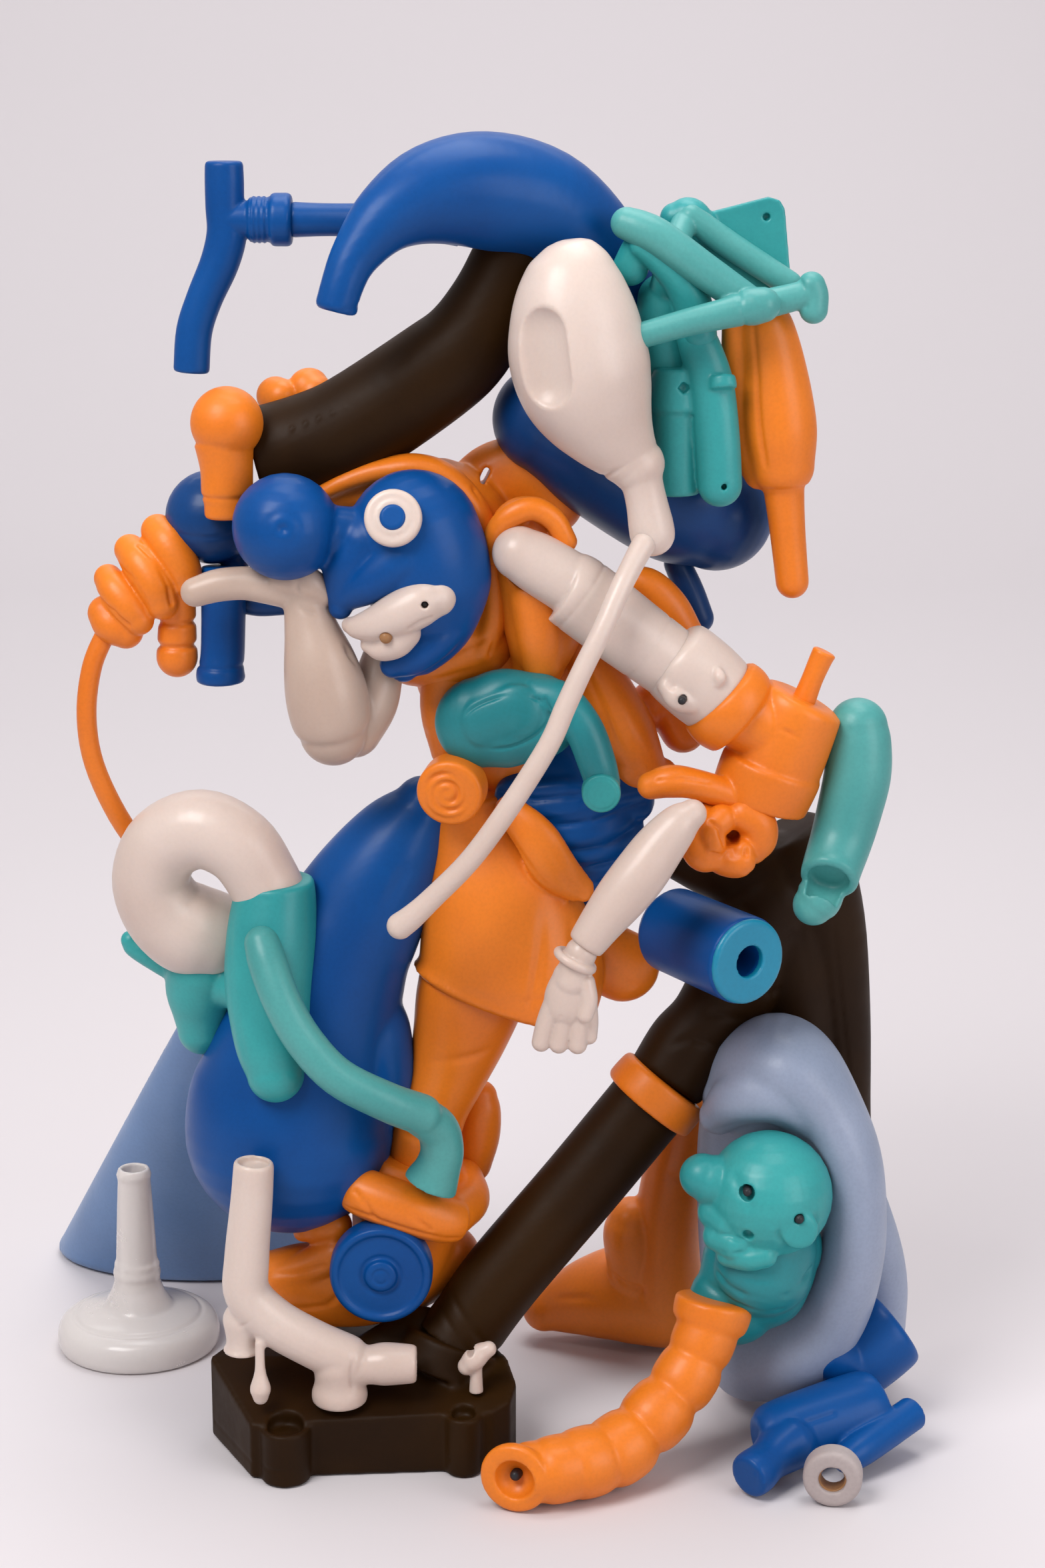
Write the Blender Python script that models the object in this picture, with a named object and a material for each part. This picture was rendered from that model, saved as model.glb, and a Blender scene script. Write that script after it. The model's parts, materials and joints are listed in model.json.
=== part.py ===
"""A table-top figure kit of moulded toy-plastic parts: tubes, bulbs, hands, hoses and a mask on one base block.

Every solid is made of limbs. A limb is a round sweep through a few stations, each (x, y, z, radius) in
millimetres. X runs to the right, Y to the back and Z up. SHIFT then moves the kit onto its origin.
"""

import math

import bmesh
import bpy
from mathutils import Matrix, Vector

MM = 0.001
GAP = 0.3  # clearance between two pieces that touch
MOVING_GAP = 0.9  # clearance where one of them moves
WELD = 1e-6  # metres
CRUMB = 5e-6  # metres: edges shorter than this are left over from cutting
SHIFT = Vector((11.7, -53.6, 0.0))  # puts the origin under the middle of the whole kit

# Where each moving piece turns: a point on its joint's axis.
PIVOTS = {
    "crank_handle": (-60, 4, 396),
    "mask_head": (-22, -13, 285),
    "left_forearm": (-34, -4, 264),
    "right_arm": (10, -15, 295),
    "canister_lever": (98, -14, 250),
    "hanging_forearm": (60, -38, 218),
    "hanging_hand": (27, -46, 176),
    "thin_rod": (49, -26, 300),
    "pouch_dial": (34.5, -22, 222),
    "spiral_knob": (-12, -14, 221),
    "wheel_disc": (-36, -17, 60),
    "roller": (70.5, -15, 169.5),
    "teal_head": (90, -25, 87),
    "orange_bottle": (87, 2, 364),
    "spindle_disc": (-126, 59, 0),
    "grey_ring": (108, -62, 9.6),
}
# Pieces that a moving piece carries with it.
CARRIED_BY = {
    "eye_ring": "mask_head",
    "jaw_insert": "mask_head",
    "arm_cuff": "right_arm",
    "canister": "right_arm",
    "right_fist": "right_arm",
    "teal_hose": "right_arm",
}

COLOURS = {
    "blue": ((0.014, 0.099, 0.392), 0.32),
    "navy": ((0.008, 0.045, 0.210), 0.35),
    "orange": ((0.807, 0.171, 0.023), 0.42),
    "teal": ((0.027, 0.332, 0.300), 0.40),
    "cream": ((0.760, 0.680, 0.610), 0.38),
    "brown": ((0.030, 0.015, 0.008), 0.45),
    "pale_blue": ((0.150, 0.270, 0.500), 0.35),
    "grey_blue": ((0.210, 0.290, 0.420), 0.40),
    "grey": ((0.460, 0.400, 0.375), 0.45),
}

nodes = {}


def clear_scene():
    for thing in list(bpy.data.objects):
        bpy.data.objects.remove(thing, do_unlink=True)


def new_collection(name):
    collection = bpy.data.collections.new(name)
    bpy.context.scene.collection.children.link(collection)
    return collection


def material(name):
    if name in bpy.data.materials:
        return bpy.data.materials[name]
    colour, roughness = COLOURS[name]
    made = bpy.data.materials.new(name)
    made.use_nodes = True
    shader = made.node_tree.nodes["Principled BSDF"]
    shader.inputs["Base Color"].default_value = (*colour, 1.0)
    shader.inputs["Roughness"].default_value = roughness
    made.diffuse_color = (*colour, 1.0)
    return made


# ---- limbs ------------------------------------------------------------------------------------


def limb(stations, start="round", end="round", steps=2, sides=10, depth=1.0, lean=(0.0, 0.0)):
    """A round sweep. An end is round (a dome past its station), soft (flat, rounded edge) or flat.

    depth squeezes the limb front to back about its own stations, so 0.5 makes an oval half as deep.
    lean slides it along X and Y by so much for each millimetre of height, and keeps its rings level.
    """
    return {
        "stations": stations,
        "ends": (start, end),
        "steps": steps,
        "sides": sides,
        "depth": depth,
        "lean": lean,
    }


def ball(x, y, z, radius, sides=10, depth=1.0, height=0.001):
    """A sphere, or an upright capsule if height is given."""
    return limb([(x, y, z - height / 2, radius), (x, y, z + height / 2, radius)], steps=1, sides=sides, depth=depth)


def disc(centre, axis, radius, thickness, sides=12):
    """A flat coin with softened edges, centred on a point, facing along an axis."""
    middle = Vector(centre)
    reach = Vector(axis).normalized() * thickness / 2
    back = middle - reach
    front = middle + reach
    return limb([(*back, radius), (*front, radius)], "soft", "soft", steps=1, sides=sides)


def smooth_path(stations, steps):
    """Catmull-Rom points through the stations, with the radius carried along as a fourth value."""
    if len(stations) == 2 or steps == 1:
        return [Vector(station) for station in stations]
    knots = [Vector(station) for station in stations]
    knots = [2 * knots[0] - knots[1], *knots, 2 * knots[-1] - knots[-2]]
    path = []
    for i in range(1, len(knots) - 2):
        before, here, there, after = knots[i - 1 : i + 3]
        for step in range(steps):
            t = step / steps
            bend = 2 * before - 5 * here + 4 * there - after
            twist = 3 * (here - there) + after - before
            path.append(here + 0.5 * t * (there - before) + 0.5 * t * t * bend + 0.5 * t**3 * twist)
    path.append(knots[-2])
    return path


def end_rings(tip, inner, style, grow):
    """The rings that finish a limb past its last ring, going outwards, and that last ring itself."""
    place = Vector(tip[:3])
    outward = (place - Vector(inner[:3])).normalized()
    radius = tip[3] + grow
    if style == "round":
        angles = [math.radians(angle) for angle in (0, 40, 72)]
        return [(*(place + outward * radius * math.sin(a)), radius * math.cos(a)) for a in angles]
    place = place + outward * grow
    if style == "flat":
        return [(*place, radius)]
    edge = min(0.15 * radius, 1.2)
    return [(*(place - outward * edge), radius), (*place, radius - edge)]


def limb_mesh(shape, grow=0.0):
    """The limb as a closed mesh object in metres, grown outwards by some millimetres."""
    depth = shape["depth"]
    stations = [(x, y / depth, z, radius) for x, y, z, radius in shape["stations"]]
    path = [tuple(point) for point in smooth_path(stations, shape["steps"])]
    grow = grow / min(depth, 1.0)
    first = end_rings(path[0], path[1], shape["ends"][0], grow)
    last = end_rings(path[-1], path[-2], shape["ends"][1], grow)
    middle = [(x, y, z, radius + grow) for x, y, z, radius in path[1:-1]]
    rings = [*reversed(first), *middle, *last]
    data = bpy.data.curves.new("limb", "CURVE")
    data.dimensions = "3D"
    data.bevel_depth = MM
    data.bevel_resolution = (shape["sides"] - 4) // 2
    data.use_fill_caps = True
    spline = data.splines.new("POLY")
    spline.points.add(len(rings) - 1)
    for point, (x, y, z, radius) in zip(spline.points, rings):
        point.co = (x * MM, y * MM, z * MM, 1.0)
        point.radius = radius
    guide = bpy.data.objects.new("limb", data)
    bpy.context.scene.collection.objects.link(guide)
    made = to_mesh(guide)
    lean_x, lean_y = shape["lean"]
    for vertex in made.data.vertices:
        vertex.co.y *= depth
        vertex.co.x += lean_x * vertex.co.z
        vertex.co.y += lean_y * vertex.co.z
    return made


def to_mesh(source):
    """The evaluated object as a plain mesh object in the same place. The source object is removed."""
    bpy.context.view_layer.update()
    graph = bpy.context.evaluated_depsgraph_get()
    mesh = bpy.data.meshes.new_from_object(source.evaluated_get(graph))
    made = bpy.data.objects.new(source.name, mesh)
    made.matrix_world = source.matrix_world
    bpy.context.scene.collection.objects.link(made)
    bpy.data.objects.remove(source, do_unlink=True)
    work = bmesh.new()
    work.from_mesh(mesh)
    bmesh.ops.remove_doubles(work, verts=work.verts, dist=WELD)
    bmesh.ops.recalc_face_normals(work, faces=work.faces)
    work.to_mesh(mesh)
    work.free()
    return made


def combine(target, others, operation):
    """Joins the others to the target, or cuts them from it. The others are used up."""
    if not others:
        return target
    tools = bpy.data.collections.new("tools")
    for other in others:
        tools.objects.link(other)
    modifier = target.modifiers.new(operation.title(), "BOOLEAN")
    modifier.operation = operation
    modifier.operand_type = "COLLECTION"
    modifier.collection = tools
    modifier.solver = "EXACT"
    modifier.use_self = operation == "UNION"
    made = to_mesh(target)
    for other in others:
        bpy.data.objects.remove(other, do_unlink=True)
    bpy.data.collections.remove(tools)
    return made


def keep_largest(thing):
    """Removes the loose crumbs that a cut can leave."""
    work = bmesh.new()
    work.from_mesh(thing.data)
    bmesh.ops.dissolve_degenerate(work, dist=CRUMB, edges=work.edges)
    bmesh.ops.triangulate(work, faces=work.faces)
    left = set(work.faces)
    islands = []
    while left:
        stack = [left.pop()]
        island = []
        while stack:
            face = stack.pop()
            island.append(face)
            for edge in face.edges:
                for other in edge.link_faces:
                    if edge.is_manifold and other in left:
                        left.remove(other)
                        stack.append(other)
        islands.append(island)
    islands.sort(key=lambda island: sum(face.calc_area() for face in island))
    for island in islands[:-1]:
        bmesh.ops.delete(work, geom=island, context="FACES")
    work.to_mesh(thing.data)
    work.free()


def solid(name, colour, limbs, holes=(), around=(), slab=None):
    """Plans a node: limbs joined together, less its holes and less room for the nodes that it sits around.

    slab, if given, is a function that makes a first mesh object for the limbs to join.
    """
    nodes[name] = {"colour": colour, "limbs": limbs, "holes": holes, "around": around, "slab": slab}


def body_of(name):
    name = CARRIED_BY.get(name, name)
    return name if name in PIVOTS else "fixed"


def make_node(name, collection, origin):
    plan = nodes[name]
    parts = [limb_mesh(shape) for shape in plan["limbs"]]
    if plan["slab"]:
        parts.insert(0, plan["slab"]())
    made = combine(parts[0], parts[1:], "UNION")
    cutters = [limb_mesh(shape) for shape in plan["holes"]]
    for other in plan["around"]:
        gap = GAP if body_of(name) == body_of(other) else MOVING_GAP
        cutters += [limb_mesh(shape, gap) for shape in nodes[other]["limbs"]]
    made = combine(made, cutters, "DIFFERENCE")
    keep_largest(made)
    pivot = Vector(PIVOTS.get(name, (0, 0, 0))) * MM
    made.data.transform(Matrix.Translation(-pivot) @ made.matrix_world)
    made.location = pivot
    made.parent = origin
    made.name = name
    made.data.name = name
    made.data.materials.clear()
    made.data.materials.append(material(plan["colour"]))
    bpy.context.scene.collection.objects.unlink(made)
    collection.objects.link(made)
    return made


# ---- base and what stands on it -----------------------------------------------------------------


BASE_HEIGHT = 28.0  # millimetres
BASE_FOLD = -14.0  # the top of the base falls away in front of this line
BASE_FALL = 0.28  # millimetres down for each millimetre forward


def base_slab():
    """The slab of the base: slanted left and rounded right in plan, with a top that slopes down in front."""
    outline = [(-93, -14), (-77, -46), (0, -40), (6, -35), (8, -26), (5, -14), (-3, 3), (-20, 14), (-62, 12), (-86, 0)]
    data = bpy.data.curves.new("base_slab", "CURVE")
    data.dimensions = "2D"
    data.fill_mode = "BOTH"
    data.extrude = BASE_HEIGHT / 2 * MM
    spline = data.splines.new("POLY")
    spline.points.add(len(outline) - 1)
    spline.use_cyclic_u = True
    for point, (x, y) in zip(spline.points, outline):
        point.co = (x * MM, y * MM, 0.0, 1.0)
    plate = bpy.data.objects.new("base_slab", data)
    plate.location.z = BASE_HEIGHT / 2 * MM
    bpy.context.scene.collection.objects.link(plate)
    made = to_mesh(plate)
    fold = BASE_FOLD * MM
    work = bmesh.new()
    work.from_mesh(made.data)
    everything = [*work.verts, *work.edges, *work.faces]
    bmesh.ops.bisect_plane(work, geom=everything, plane_co=(0, fold, 0), plane_no=(0, 1, 0))
    for vertex in work.verts:
        if vertex.co.z > 0:
            vertex.co.z -= max(0.0, fold - vertex.co.y) * BASE_FALL
    work.to_mesh(made.data)
    work.free()
    return made


def base_block():
    """The dark base, with two round lugs on its front."""
    lugs = [
        limb([(x, y, 0, radius), (x, y, height, radius)], "flat", "flat", steps=1, sides=12)
        for x, y, radius, height in ((-66, -45, 8.0, 18.0), (-9, -40, 6.0, 20.0))
    ]
    solid("base_block", "brown", lugs, around=["lower_tube", "elbow_pipe", "boot"], slab=base_slab)


def base_pin():
    stem = limb([(-5, -32, 24.2, 2.3), (-5, -32, 33, 2.3)], "flat", "flat", steps=1, sides=8)
    head = limb([(-7, -32, 33, 3.6), (-2, -31, 38, 3.4)], steps=1, sides=8)
    solid("base_pin", "cream", [stem, head], around=["base_block", "lower_tube"])


def elbow_pipe():
    """The bent pipe in front of the big blue leg, with its end cuff and two feet on the base."""
    pipe = limb([(-75, -36, 105, 6.4), (-77, -36, 84, 7.0), (-79, -36, 62, 7.4), (-70, -36, 51, 7.8),
                 (-48, -36, 38, 7.8)], "soft", "round")
    cuff = limb([(-46, -36, 35, 7.2), (-34, -36, 35.5, 7.2), (-24, -36, 35.5, 6.0)], "round", "soft")
    foot = limb([(-49, -36, 36, 8.6), (-49, -36, 22, 9.0)], "round", "soft", steps=1, sides=12)
    small_foot = limb([(-80, -34, 50, 6.6), (-80, -34, 39, 6.4)], "round", "soft", steps=1)
    peg = limb([(-74, -41, 46, 1.8), (-74, -42, 27, 3.2)], "flat", "soft", steps=1, sides=8)
    solid("elbow_pipe", "cream", [pipe, cuff, foot, small_foot, peg])


def lower_tube():
    """The dark strut that climbs from the base to the right knee."""
    strut = limb([(-13, -10, 30, 13.5), (4, -4, 53, 13.6), (52, 10, 108, 13.6)], "flat", "soft", steps=1, sides=16)
    solid("lower_tube", "brown", [strut])


def tube_ring():
    ring = limb([(51, 10, 107, 15.4), (54.5, 10.8, 111, 16.4), (58, 11.5, 115, 15.4)], "soft", "soft", sides=16)
    solid("tube_ring", "orange", [ring], around=["lower_tube", "trousers"])


def trousers():
    """Two dark trouser legs that meet under the belt: a short one to the strut and a long one behind."""
    front_leg = limb([(57, 12, 114, 13.4), (72, 18, 134, 13.6), (82, 22, 154, 16.0), (92, 24, 176, 17.0)],
                     "soft", "round")
    seat = limb([(98, 25, 176, 14.0), (103, 26, 126, 12.0)], steps=1, sides=8)
    back_leg = limb([(95, 26, 196, 14.0), (101, 27, 184, 18.0), (109, 28, 164, 15.0), (115, 30, 130, 11.8),
                     (118, 32, 96, 10.0), (121, 33, 76, 9.0)], "soft", "soft")
    hip = limb([(58, 26, 190, 8.0), (74, 24, 186, 12.0), (92, 24, 182, 15.0)], sides=8)
    solid("trousers", "brown", [front_leg, seat, back_leg, hip], around=["lower_tube", "hood_ring", "roller"])


def boot():
    """The front boot: a long shoe, a folded cuff over the ankle, and a side lobe."""
    shoe = limb([(-74, 0, 50, 9.6), (-60, 0, 48.5, 13.6), (-44, 2, 49, 15.6), (-30, 7, 51, 16.0), (-16, 12, 52, 12.0)],
                depth=0.9)
    ankle = limb([(-29, 8, 66, 18.0), (-29, 8, 80, 19.0), (-26, 8, 90, 16.0)], "soft", "soft")
    cuff = limb([(-42, -12, 85, 7.6), (-28, -15, 81, 8.0), (-13, -11, 75, 7.6)], "soft", "soft")
    lobe = limb([(-60, -4, 69, 4.4), (-54, -4, 70, 5.8)], steps=1, sides=8)
    solid("boot", "orange", [shoe, ankle, cuff, lobe], around=["lower_tube", "wheel_disc"])


def wheel_disc():
    rim = disc((-36, -17, 60), (0, 1, 0), 16.8, 9.0, sides=18)
    boss = disc((-36, -22, 60), (0, 1, 0), 5.0, 4.0)
    solid("wheel_disc", "blue", [rim, boss])


def leg():
    """The orange thigh and calf between the skirt and the boot, with the heel lobe behind."""
    calf = limb([(-6, 8, 148, 18.0), (-9, 8, 138, 16.8), (-14, 8, 123, 14.0), (-20, 8, 106, 11.8), (-24, 8, 88, 11.0)],
                "soft", "soft")
    heel = limb([(-5, 21, 103, 6.6), (-6, 22, 92, 7.4), (-8, 22, 80, 6.4)], sides=8)
    solid("leg", "orange", [calf, heel], around=["boot", "skirt", "drain_pipe"])


def skirt():
    """A glossy flared skirt with a folded lapel at its top and a flap behind on the right."""
    bell = limb([(-4, 8, 214, 14.0), (-2, 8, 198, 19.0), (2, 6, 180, 25.0), (6, 6, 162, 29.5), (6, 6, 146, 31.0)],
                "soft", "soft", sides=14, depth=0.72)
    flap = limb([(26, 16, 162, 12.0), (43, 17, 155, 11.5)], depth=0.6)
    solid("skirt", "orange", [bell, flap], around=["thin_rod", "hanging_hand", "drain_pipe", "balloon_leg"])


def balloon_leg():
    """The big glossy leg on the left: a tube from the hip that swells into a bulb."""
    swell = limb([(-22, 8, 209, 10.0), (-31, 8, 197, 16.4), (-44, 8, 173, 22.4), (-57, 7, 141, 27.4),
                  (-64, 7, 118, 32.4), (-67, 7, 100, 34.5)], sides=14)
    knee = limb([(-41, 4, 138, 13.4), (-41, 5, 117, 15.0)], steps=1)
    solid("balloon_leg", "blue", [swell, knee],
          around=["boot", "elbow_pipe", "drain_pipe", "hook_sleeve", "leg", "spiral_knob", "thin_rod"])


def ring_hook():
    """The fat cream hook that curls round at the left."""
    curl = limb([(-73, -9, 190, 11.6), (-80, -9, 201, 12.2), (-92, -7, 206, 12.6), (-104, -4, 200.5, 12.6),
                 (-109, -2, 189, 12.6), (-106, 0, 178, 13.6), (-99, 2, 171, 15.0), (-92, 4, 168, 14.4)],
                "soft", "round")
    solid("ring_hook", "cream", [curl])


def hook_sleeve():
    """The teal sleeve under the hook, and the drop that hangs behind it."""
    sleeve = limb([(-70, -9, 185, 13.0), (-70, -11, 172, 14.4), (-71, -14, 158, 14.2), (-70, -19, 143, 13.0),
                   (-69, -24, 130, 11.0), (-68, -27, 121, 9.4)], "soft", "round")
    drop = limb([(-94, 6, 154, 12.4), (-96, 7, 146, 10.5), (-96, 8, 137, 7.0)], sides=8)
    bridge = limb([(-92, 6, 152, 8.0), (-78, -4, 152, 8.0)], steps=1, sides=8)
    knob = limb([(-117, 10, 163, 4.0), (-98, 8, 152, 5.0)], steps=1, sides=8)
    solid("hook_sleeve", "teal", [sleeve, drop, bridge, knob], around=["ring_hook", "drain_pipe"])


def drain_pipe():
    """The long thin teal pipe that runs down over the leg to a flared mouth on the boot."""
    pipe = limb([(-74, -27, 173, 5.8), (-67.5, -32, 161, 6.0), (-60, -36, 146, 6.1), (-48, -38, 134, 6.1),
                 (-33, -36, 125, 6.3), (-20, -29, 117, 6.5), (-15.6, -24, 110, 6.6), (-16.4, -22, 102, 7.0),
                 (-19, -21, 93, 8.4)], "round", "soft")
    solid("drain_pipe", "teal", [pipe])


def spindle_disc():
    """The flared stand on the floor with a hollow spindle."""
    plate = limb([(-126, 59, 0, 28.0), (-126, 59, 6, 28.6), (-126, 59, 12, 25.0), (-126, 59, 14, 18.0)],
                 "flat", "flat", steps=1, sides=24)
    skirted = limb([(-126, 59, 13, 13.0), (-126, 59, 20, 9.5), (-126, 59, 26, 7.4)], "flat", "flat", sides=16)
    spindle = limb([(-126, 59, 24, 7.6), (-126, 59, 66, 5.4)], "flat", "flat", steps=1, sides=16)
    bore = limb([(-126, 59, 28, 4.4), (-126, 59, 68, 4.0)], "flat", "flat", steps=1)
    solid("spindle_disc", "cream", [plate, skirted, spindle], holes=[bore])


def support_cone():
    """The pale cone that props the big bulb from behind, leaning back to a wide oval foot."""
    cone = limb([(-110, 146, 0, 58.0), (-110, 146, 70, 34.0), (-110, 146, 140, 9.0)],
                "flat", "round", steps=1, sides=24, depth=0.6, lean=(0.15, -0.74))
    solid("support_cone", "pale_blue", [cone], around=["balloon_leg", "spindle_disc", "hook_sleeve"])


# ---- body -----------------------------------------------------------------------------------------


def torso():
    """The orange jacket: chest, waist, and the two straps on the right."""
    chest = limb([(-9, 18, 270, 18.0), (-3, 16, 252, 21.0), (6, 15, 234, 20.0), (10, 12, 224, 16.0)], depth=0.8)
    right_strap = limb([(31, 8, 254, 8.5), (41, 8, 234, 9.5), (48, 8, 222, 8.0)])
    back_strap = limb([(42, 16, 232, 8.0), (54, 20, 236, 9.0), (60, 20, 230, 7.0)])
    link = limb([(10, 14, 256, 12.0), (36, 10, 244, 9.0)], steps=1)
    solid("torso", "orange", [chest, right_strap, back_strap, link],
          around=["shoulder_sleeve", "right_arm", "pouch", "spiral_knob", "skirt", "waist_sash", "arm_cuff",
                  "canister", "left_forearm"])


def waist_sash():
    wrap = limb([(12, 12, 226, 14.0), (22, 12, 215, 21.0), (29, 12, 202, 21.5), (35, 12, 187, 13.0)], depth=0.8)
    solid("waist_sash", "blue", [wrap], around=["pouch", "pouch_dial", "skirt", "spiral_knob", "hanging_forearm"])


def spiral_knob():
    knob = disc((-12, -14, 221), (0.2, 1, 0.1), 10.6, 11.0)
    solid("spiral_knob", "orange", [knob])


def pouch():
    """The oval teal hip bag with the strap that drops to the dial."""
    bag = limb([(-2, -10, 242, 14.5), (6, -11, 243, 15.5), (14, -11, 243, 13.5)], depth=0.6, sides=16)
    strap = limb([(18, -14, 250, 6.0), (28, -17, 242, 6.0), (33, -18, 229, 5.6)])
    solid("pouch", "teal", [bag, strap], around=["pouch_dial", "spiral_knob"])


def pouch_dial():
    dial = disc((34.5, -22, 222), (0, 1, 0), 6.1, 7.0)
    solid("pouch_dial", "teal", [dial])


def hood():
    """The jacket collar that rises behind the mask, with the holed tab behind the shoulder."""
    back = limb([(-26, 18, 302, 16.0), (-16, 16, 300, 20.0), (-10, 14, 286, 21.0), (-8, 12, 272, 18.0)], depth=0.9)
    collar = limb([(-22, 6, 262, 12.0), (-6, 8, 262, 14.0)], steps=1)
    tab = limb([(-8, 24, 306, 9.6), (0, 24, 311.6, 12.0), (9, 24, 313.6, 12.2), (18, 24, 306, 11.0)], depth=0.7)
    tab_hole = limb([(-2.6, 0, 314.4, 1.8), (-2.6, 50, 314.4, 1.8)], "flat", "flat", steps=1, sides=8)
    solid("hood", "orange", [back, collar, tab], holes=[tab_hole],
          around=["mask_head", "shoulder_sleeve", "torso", "left_forearm", "right_arm", "jaw_insert"])


def mask_head():
    """The blue mask: an egg-shaped head, a brow that juts left and a ball nose on a neck."""
    egg = limb([(-24, -13, 299, 21.0), (-21, -13, 286, 20.4), (-21, -12, 274, 14.0), (-25, -12, 262, 8.0)],
               "round", "round", depth=0.92, sides=14)
    brow = limb([(-44, -17, 296, 9.5), (-44.5, -17, 287, 7.2), (-45, -18, 281, 3.6)])
    neck = limb([(-48, -18, 301, 9.5), (-36, -15, 298, 11.5)], steps=1)
    nose = ball(-62.5, -20, 305, 16.2, sides=14)
    solid("mask_head", "blue", [egg, brow, neck, nose], around=["eye_ring", "jaw_insert"])


def eye_ring():
    ring = disc((-29, -32, 309.4), (0.05, 1, -0.32), 8.6, 4.0)
    solid("eye_ring", "cream", [ring])


def jaw_insert():
    jaw = limb([(-42, -24, 274.5, 3.0), (-36, -27, 276, 5.0), (-28, -29, 279.5, 7.0), (-17, -29, 284, 6.6)])
    chin = limb([(-34, -26, 269, 4.6), (-29, -27, 271, 5.4)], steps=1)
    solid("jaw_insert", "cream", [jaw, chin])


# ---- left arm and its grip ------------------------------------------------------------------------


def left_forearm():
    """The raised cream arm: a finger and thumb under the mask's nose, a forearm and the arm behind it."""
    finger = limb([(-91, -16, 284, 4.8), (-81, -15, 286, 5.3), (-68, -14, 285, 5.8), (-58, -15, 283, 6.4)])
    forearm = limb([(-57, -16, 280, 7.0), (-54.6, -17, 270, 9.2), (-51, -18, 254, 12.8), (-49.4, -17.6, 243, 12.4)])
    upper = limb([(-34, -3, 264, 6.0), (-37, -5, 250, 8.0), (-42, -10, 239, 8.8)])
    solid("left_forearm", "cream", [finger, forearm, upper], around=["mask_head", "jaw_insert"])


def left_ball():
    joint = ball(-88, 12, 303, 14.8, sides=14)
    bar = limb([(-81, 12, 275, 3.4), (-64, 12, 275, 3.4)], steps=1, sides=8)
    drop = limb([(-81, 12, 294, 4.0), (-81, 12, 275, 4.0)], steps=1, sides=8)
    solid("left_ball", "navy", [joint, bar, drop], around=["blue_handle", "left_fist"])


def blue_handle():
    grip = limb([(-84.5, 8, 287, 7.4), (-85, 7, 262, 7.2), (-86, 6, 252, 7.6)], "soft", "soft")
    solid("blue_handle", "blue", [grip])


def left_fist():
    """The orange fist at the far left, with three rolls of fingers, a side lobe and a ribbed spout."""
    rolls = [
        limb([(-105, 8, 298, 6.0), (-99, 4, 293, 6.4), (-96, 3, 287, 6.0)]),
        limb([(-113.8, 8, 292, 5.8), (-107.6, 3, 287, 6.4), (-104, 1, 280, 5.8)]),
        limb([(-121, 7, 283.4, 5.0), (-116, 3, 279, 5.8), (-112, 2, 273.5, 5.4)]),
        limb([(-121, 6, 272.3, 6.4), (-117, 5, 268.6, 6.0)], steps=1, sides=8),
    ]
    palm = ball(-104, 10, 281, 10.5)
    spout = limb([(-101, 7, 280, 6.4), (-100, 7, 268, 6.2), (-100, 7, 258, 6.6)], "round", "round")
    solid("left_fist", "orange", [*rolls, palm, spout], around=["blue_handle", "orange_hose"])


def orange_hose():
    """The thin stiff hose that bows from the fist down behind the hook."""
    hose = limb([(-122, 6, 268, 3.2), (-127, 5, 256, 3.2), (-129, 5, 240, 3.2), (-127, 7, 224, 3.2),
                 (-120, 11, 206, 3.3), (-112, 15, 190, 3.3)], "flat", "round", sides=10)
    solid("orange_hose", "orange", [hose], around=["ring_hook"])


# ---- top --------------------------------------------------------------------------------------------


def blue_arch():
    """The big glossy arch over the top. Its thin left end is cut flat and its right end sits on the capsule."""
    bow = limb([(-46, -24, 371, 6.2), (-41, -22, 386, 7.0), (-31, -16, 397.5, 10.4), (-18, -8, 404, 15.0),
                (-2, 0, 405.2, 17.7), (16, 8, 400, 17.6), (31, 16, 387, 15.4), (43, 24, 370, 13.0),
                (49, 27, 352, 11.5)], "soft", "round", sides=14)
    solid("blue_arch", "blue", [bow], around=["crank_shaft"])


def crank_shaft():
    bar = limb([(-61, 4, 396, 5.2), (-30, 3, 396, 5.6), (-10, 2, 397, 9.0)], "soft", "flat", steps=1)
    solid("crank_shaft", "blue", [bar])


def crank_handle():
    """The S-shaped lever that turns on the shaft, with flat ends, and its collar of three rings and a cuff."""
    lever = limb([(-81, 4, 413, 6.0), (-81, 4, 404, 6.0), (-81, 4, 394, 6.2), (-85, 4, 380, 5.8),
                  (-91, 4, 364, 5.8), (-93, 4, 350, 5.6)], "soft", "soft", depth=0.9)
    core = limb([(-81, 4, 396, 6.4), (-61.4, 4, 396, 6.4)], "soft", "soft", steps=1)
    rings = [disc((x, 4, 396), (1, 0, 0), 7.6, 2.6, sides=10) for x in (-73, -69.5, -66)]
    solid("crank_handle", "blue", [lever, core, *rings])


def upper_tube():
    """The big dark tube that curves down from the arch to the bulb."""
    tube = limb([(7, 9, 392, 10.8), (2, 9, 372, 13.6), (-16, 9, 350.6, 15.8), (-42, 9, 332.6, 16.2),
                 (-73, 9, 322.5, 15.0)], "soft", "soft", sides=14)
    solid("upper_tube", "brown", [tube], around=["blue_arch", "bulb_fitting", "mask_head", "left_ball",
                                                 "lobed_knob", "horn", "hood", "blue_capsule"])


def bulb_fitting():
    ball_end = ball(-81, -6, 335, 11.2, sides=14)
    neck = limb([(-82, -6, 329, 8.6), (-82, -6, 317, 8.0), (-83, -6, 306, 7.6)], "flat", "soft")
    solid("bulb_fitting", "orange", [ball_end, neck], around=["left_ball"])


def lobed_knob():
    lobes = [ball(-67, 22, 341, 6.6), ball(-57, 22, 343, 6.6)]
    solid("lobed_knob", "orange", lobes)


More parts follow.
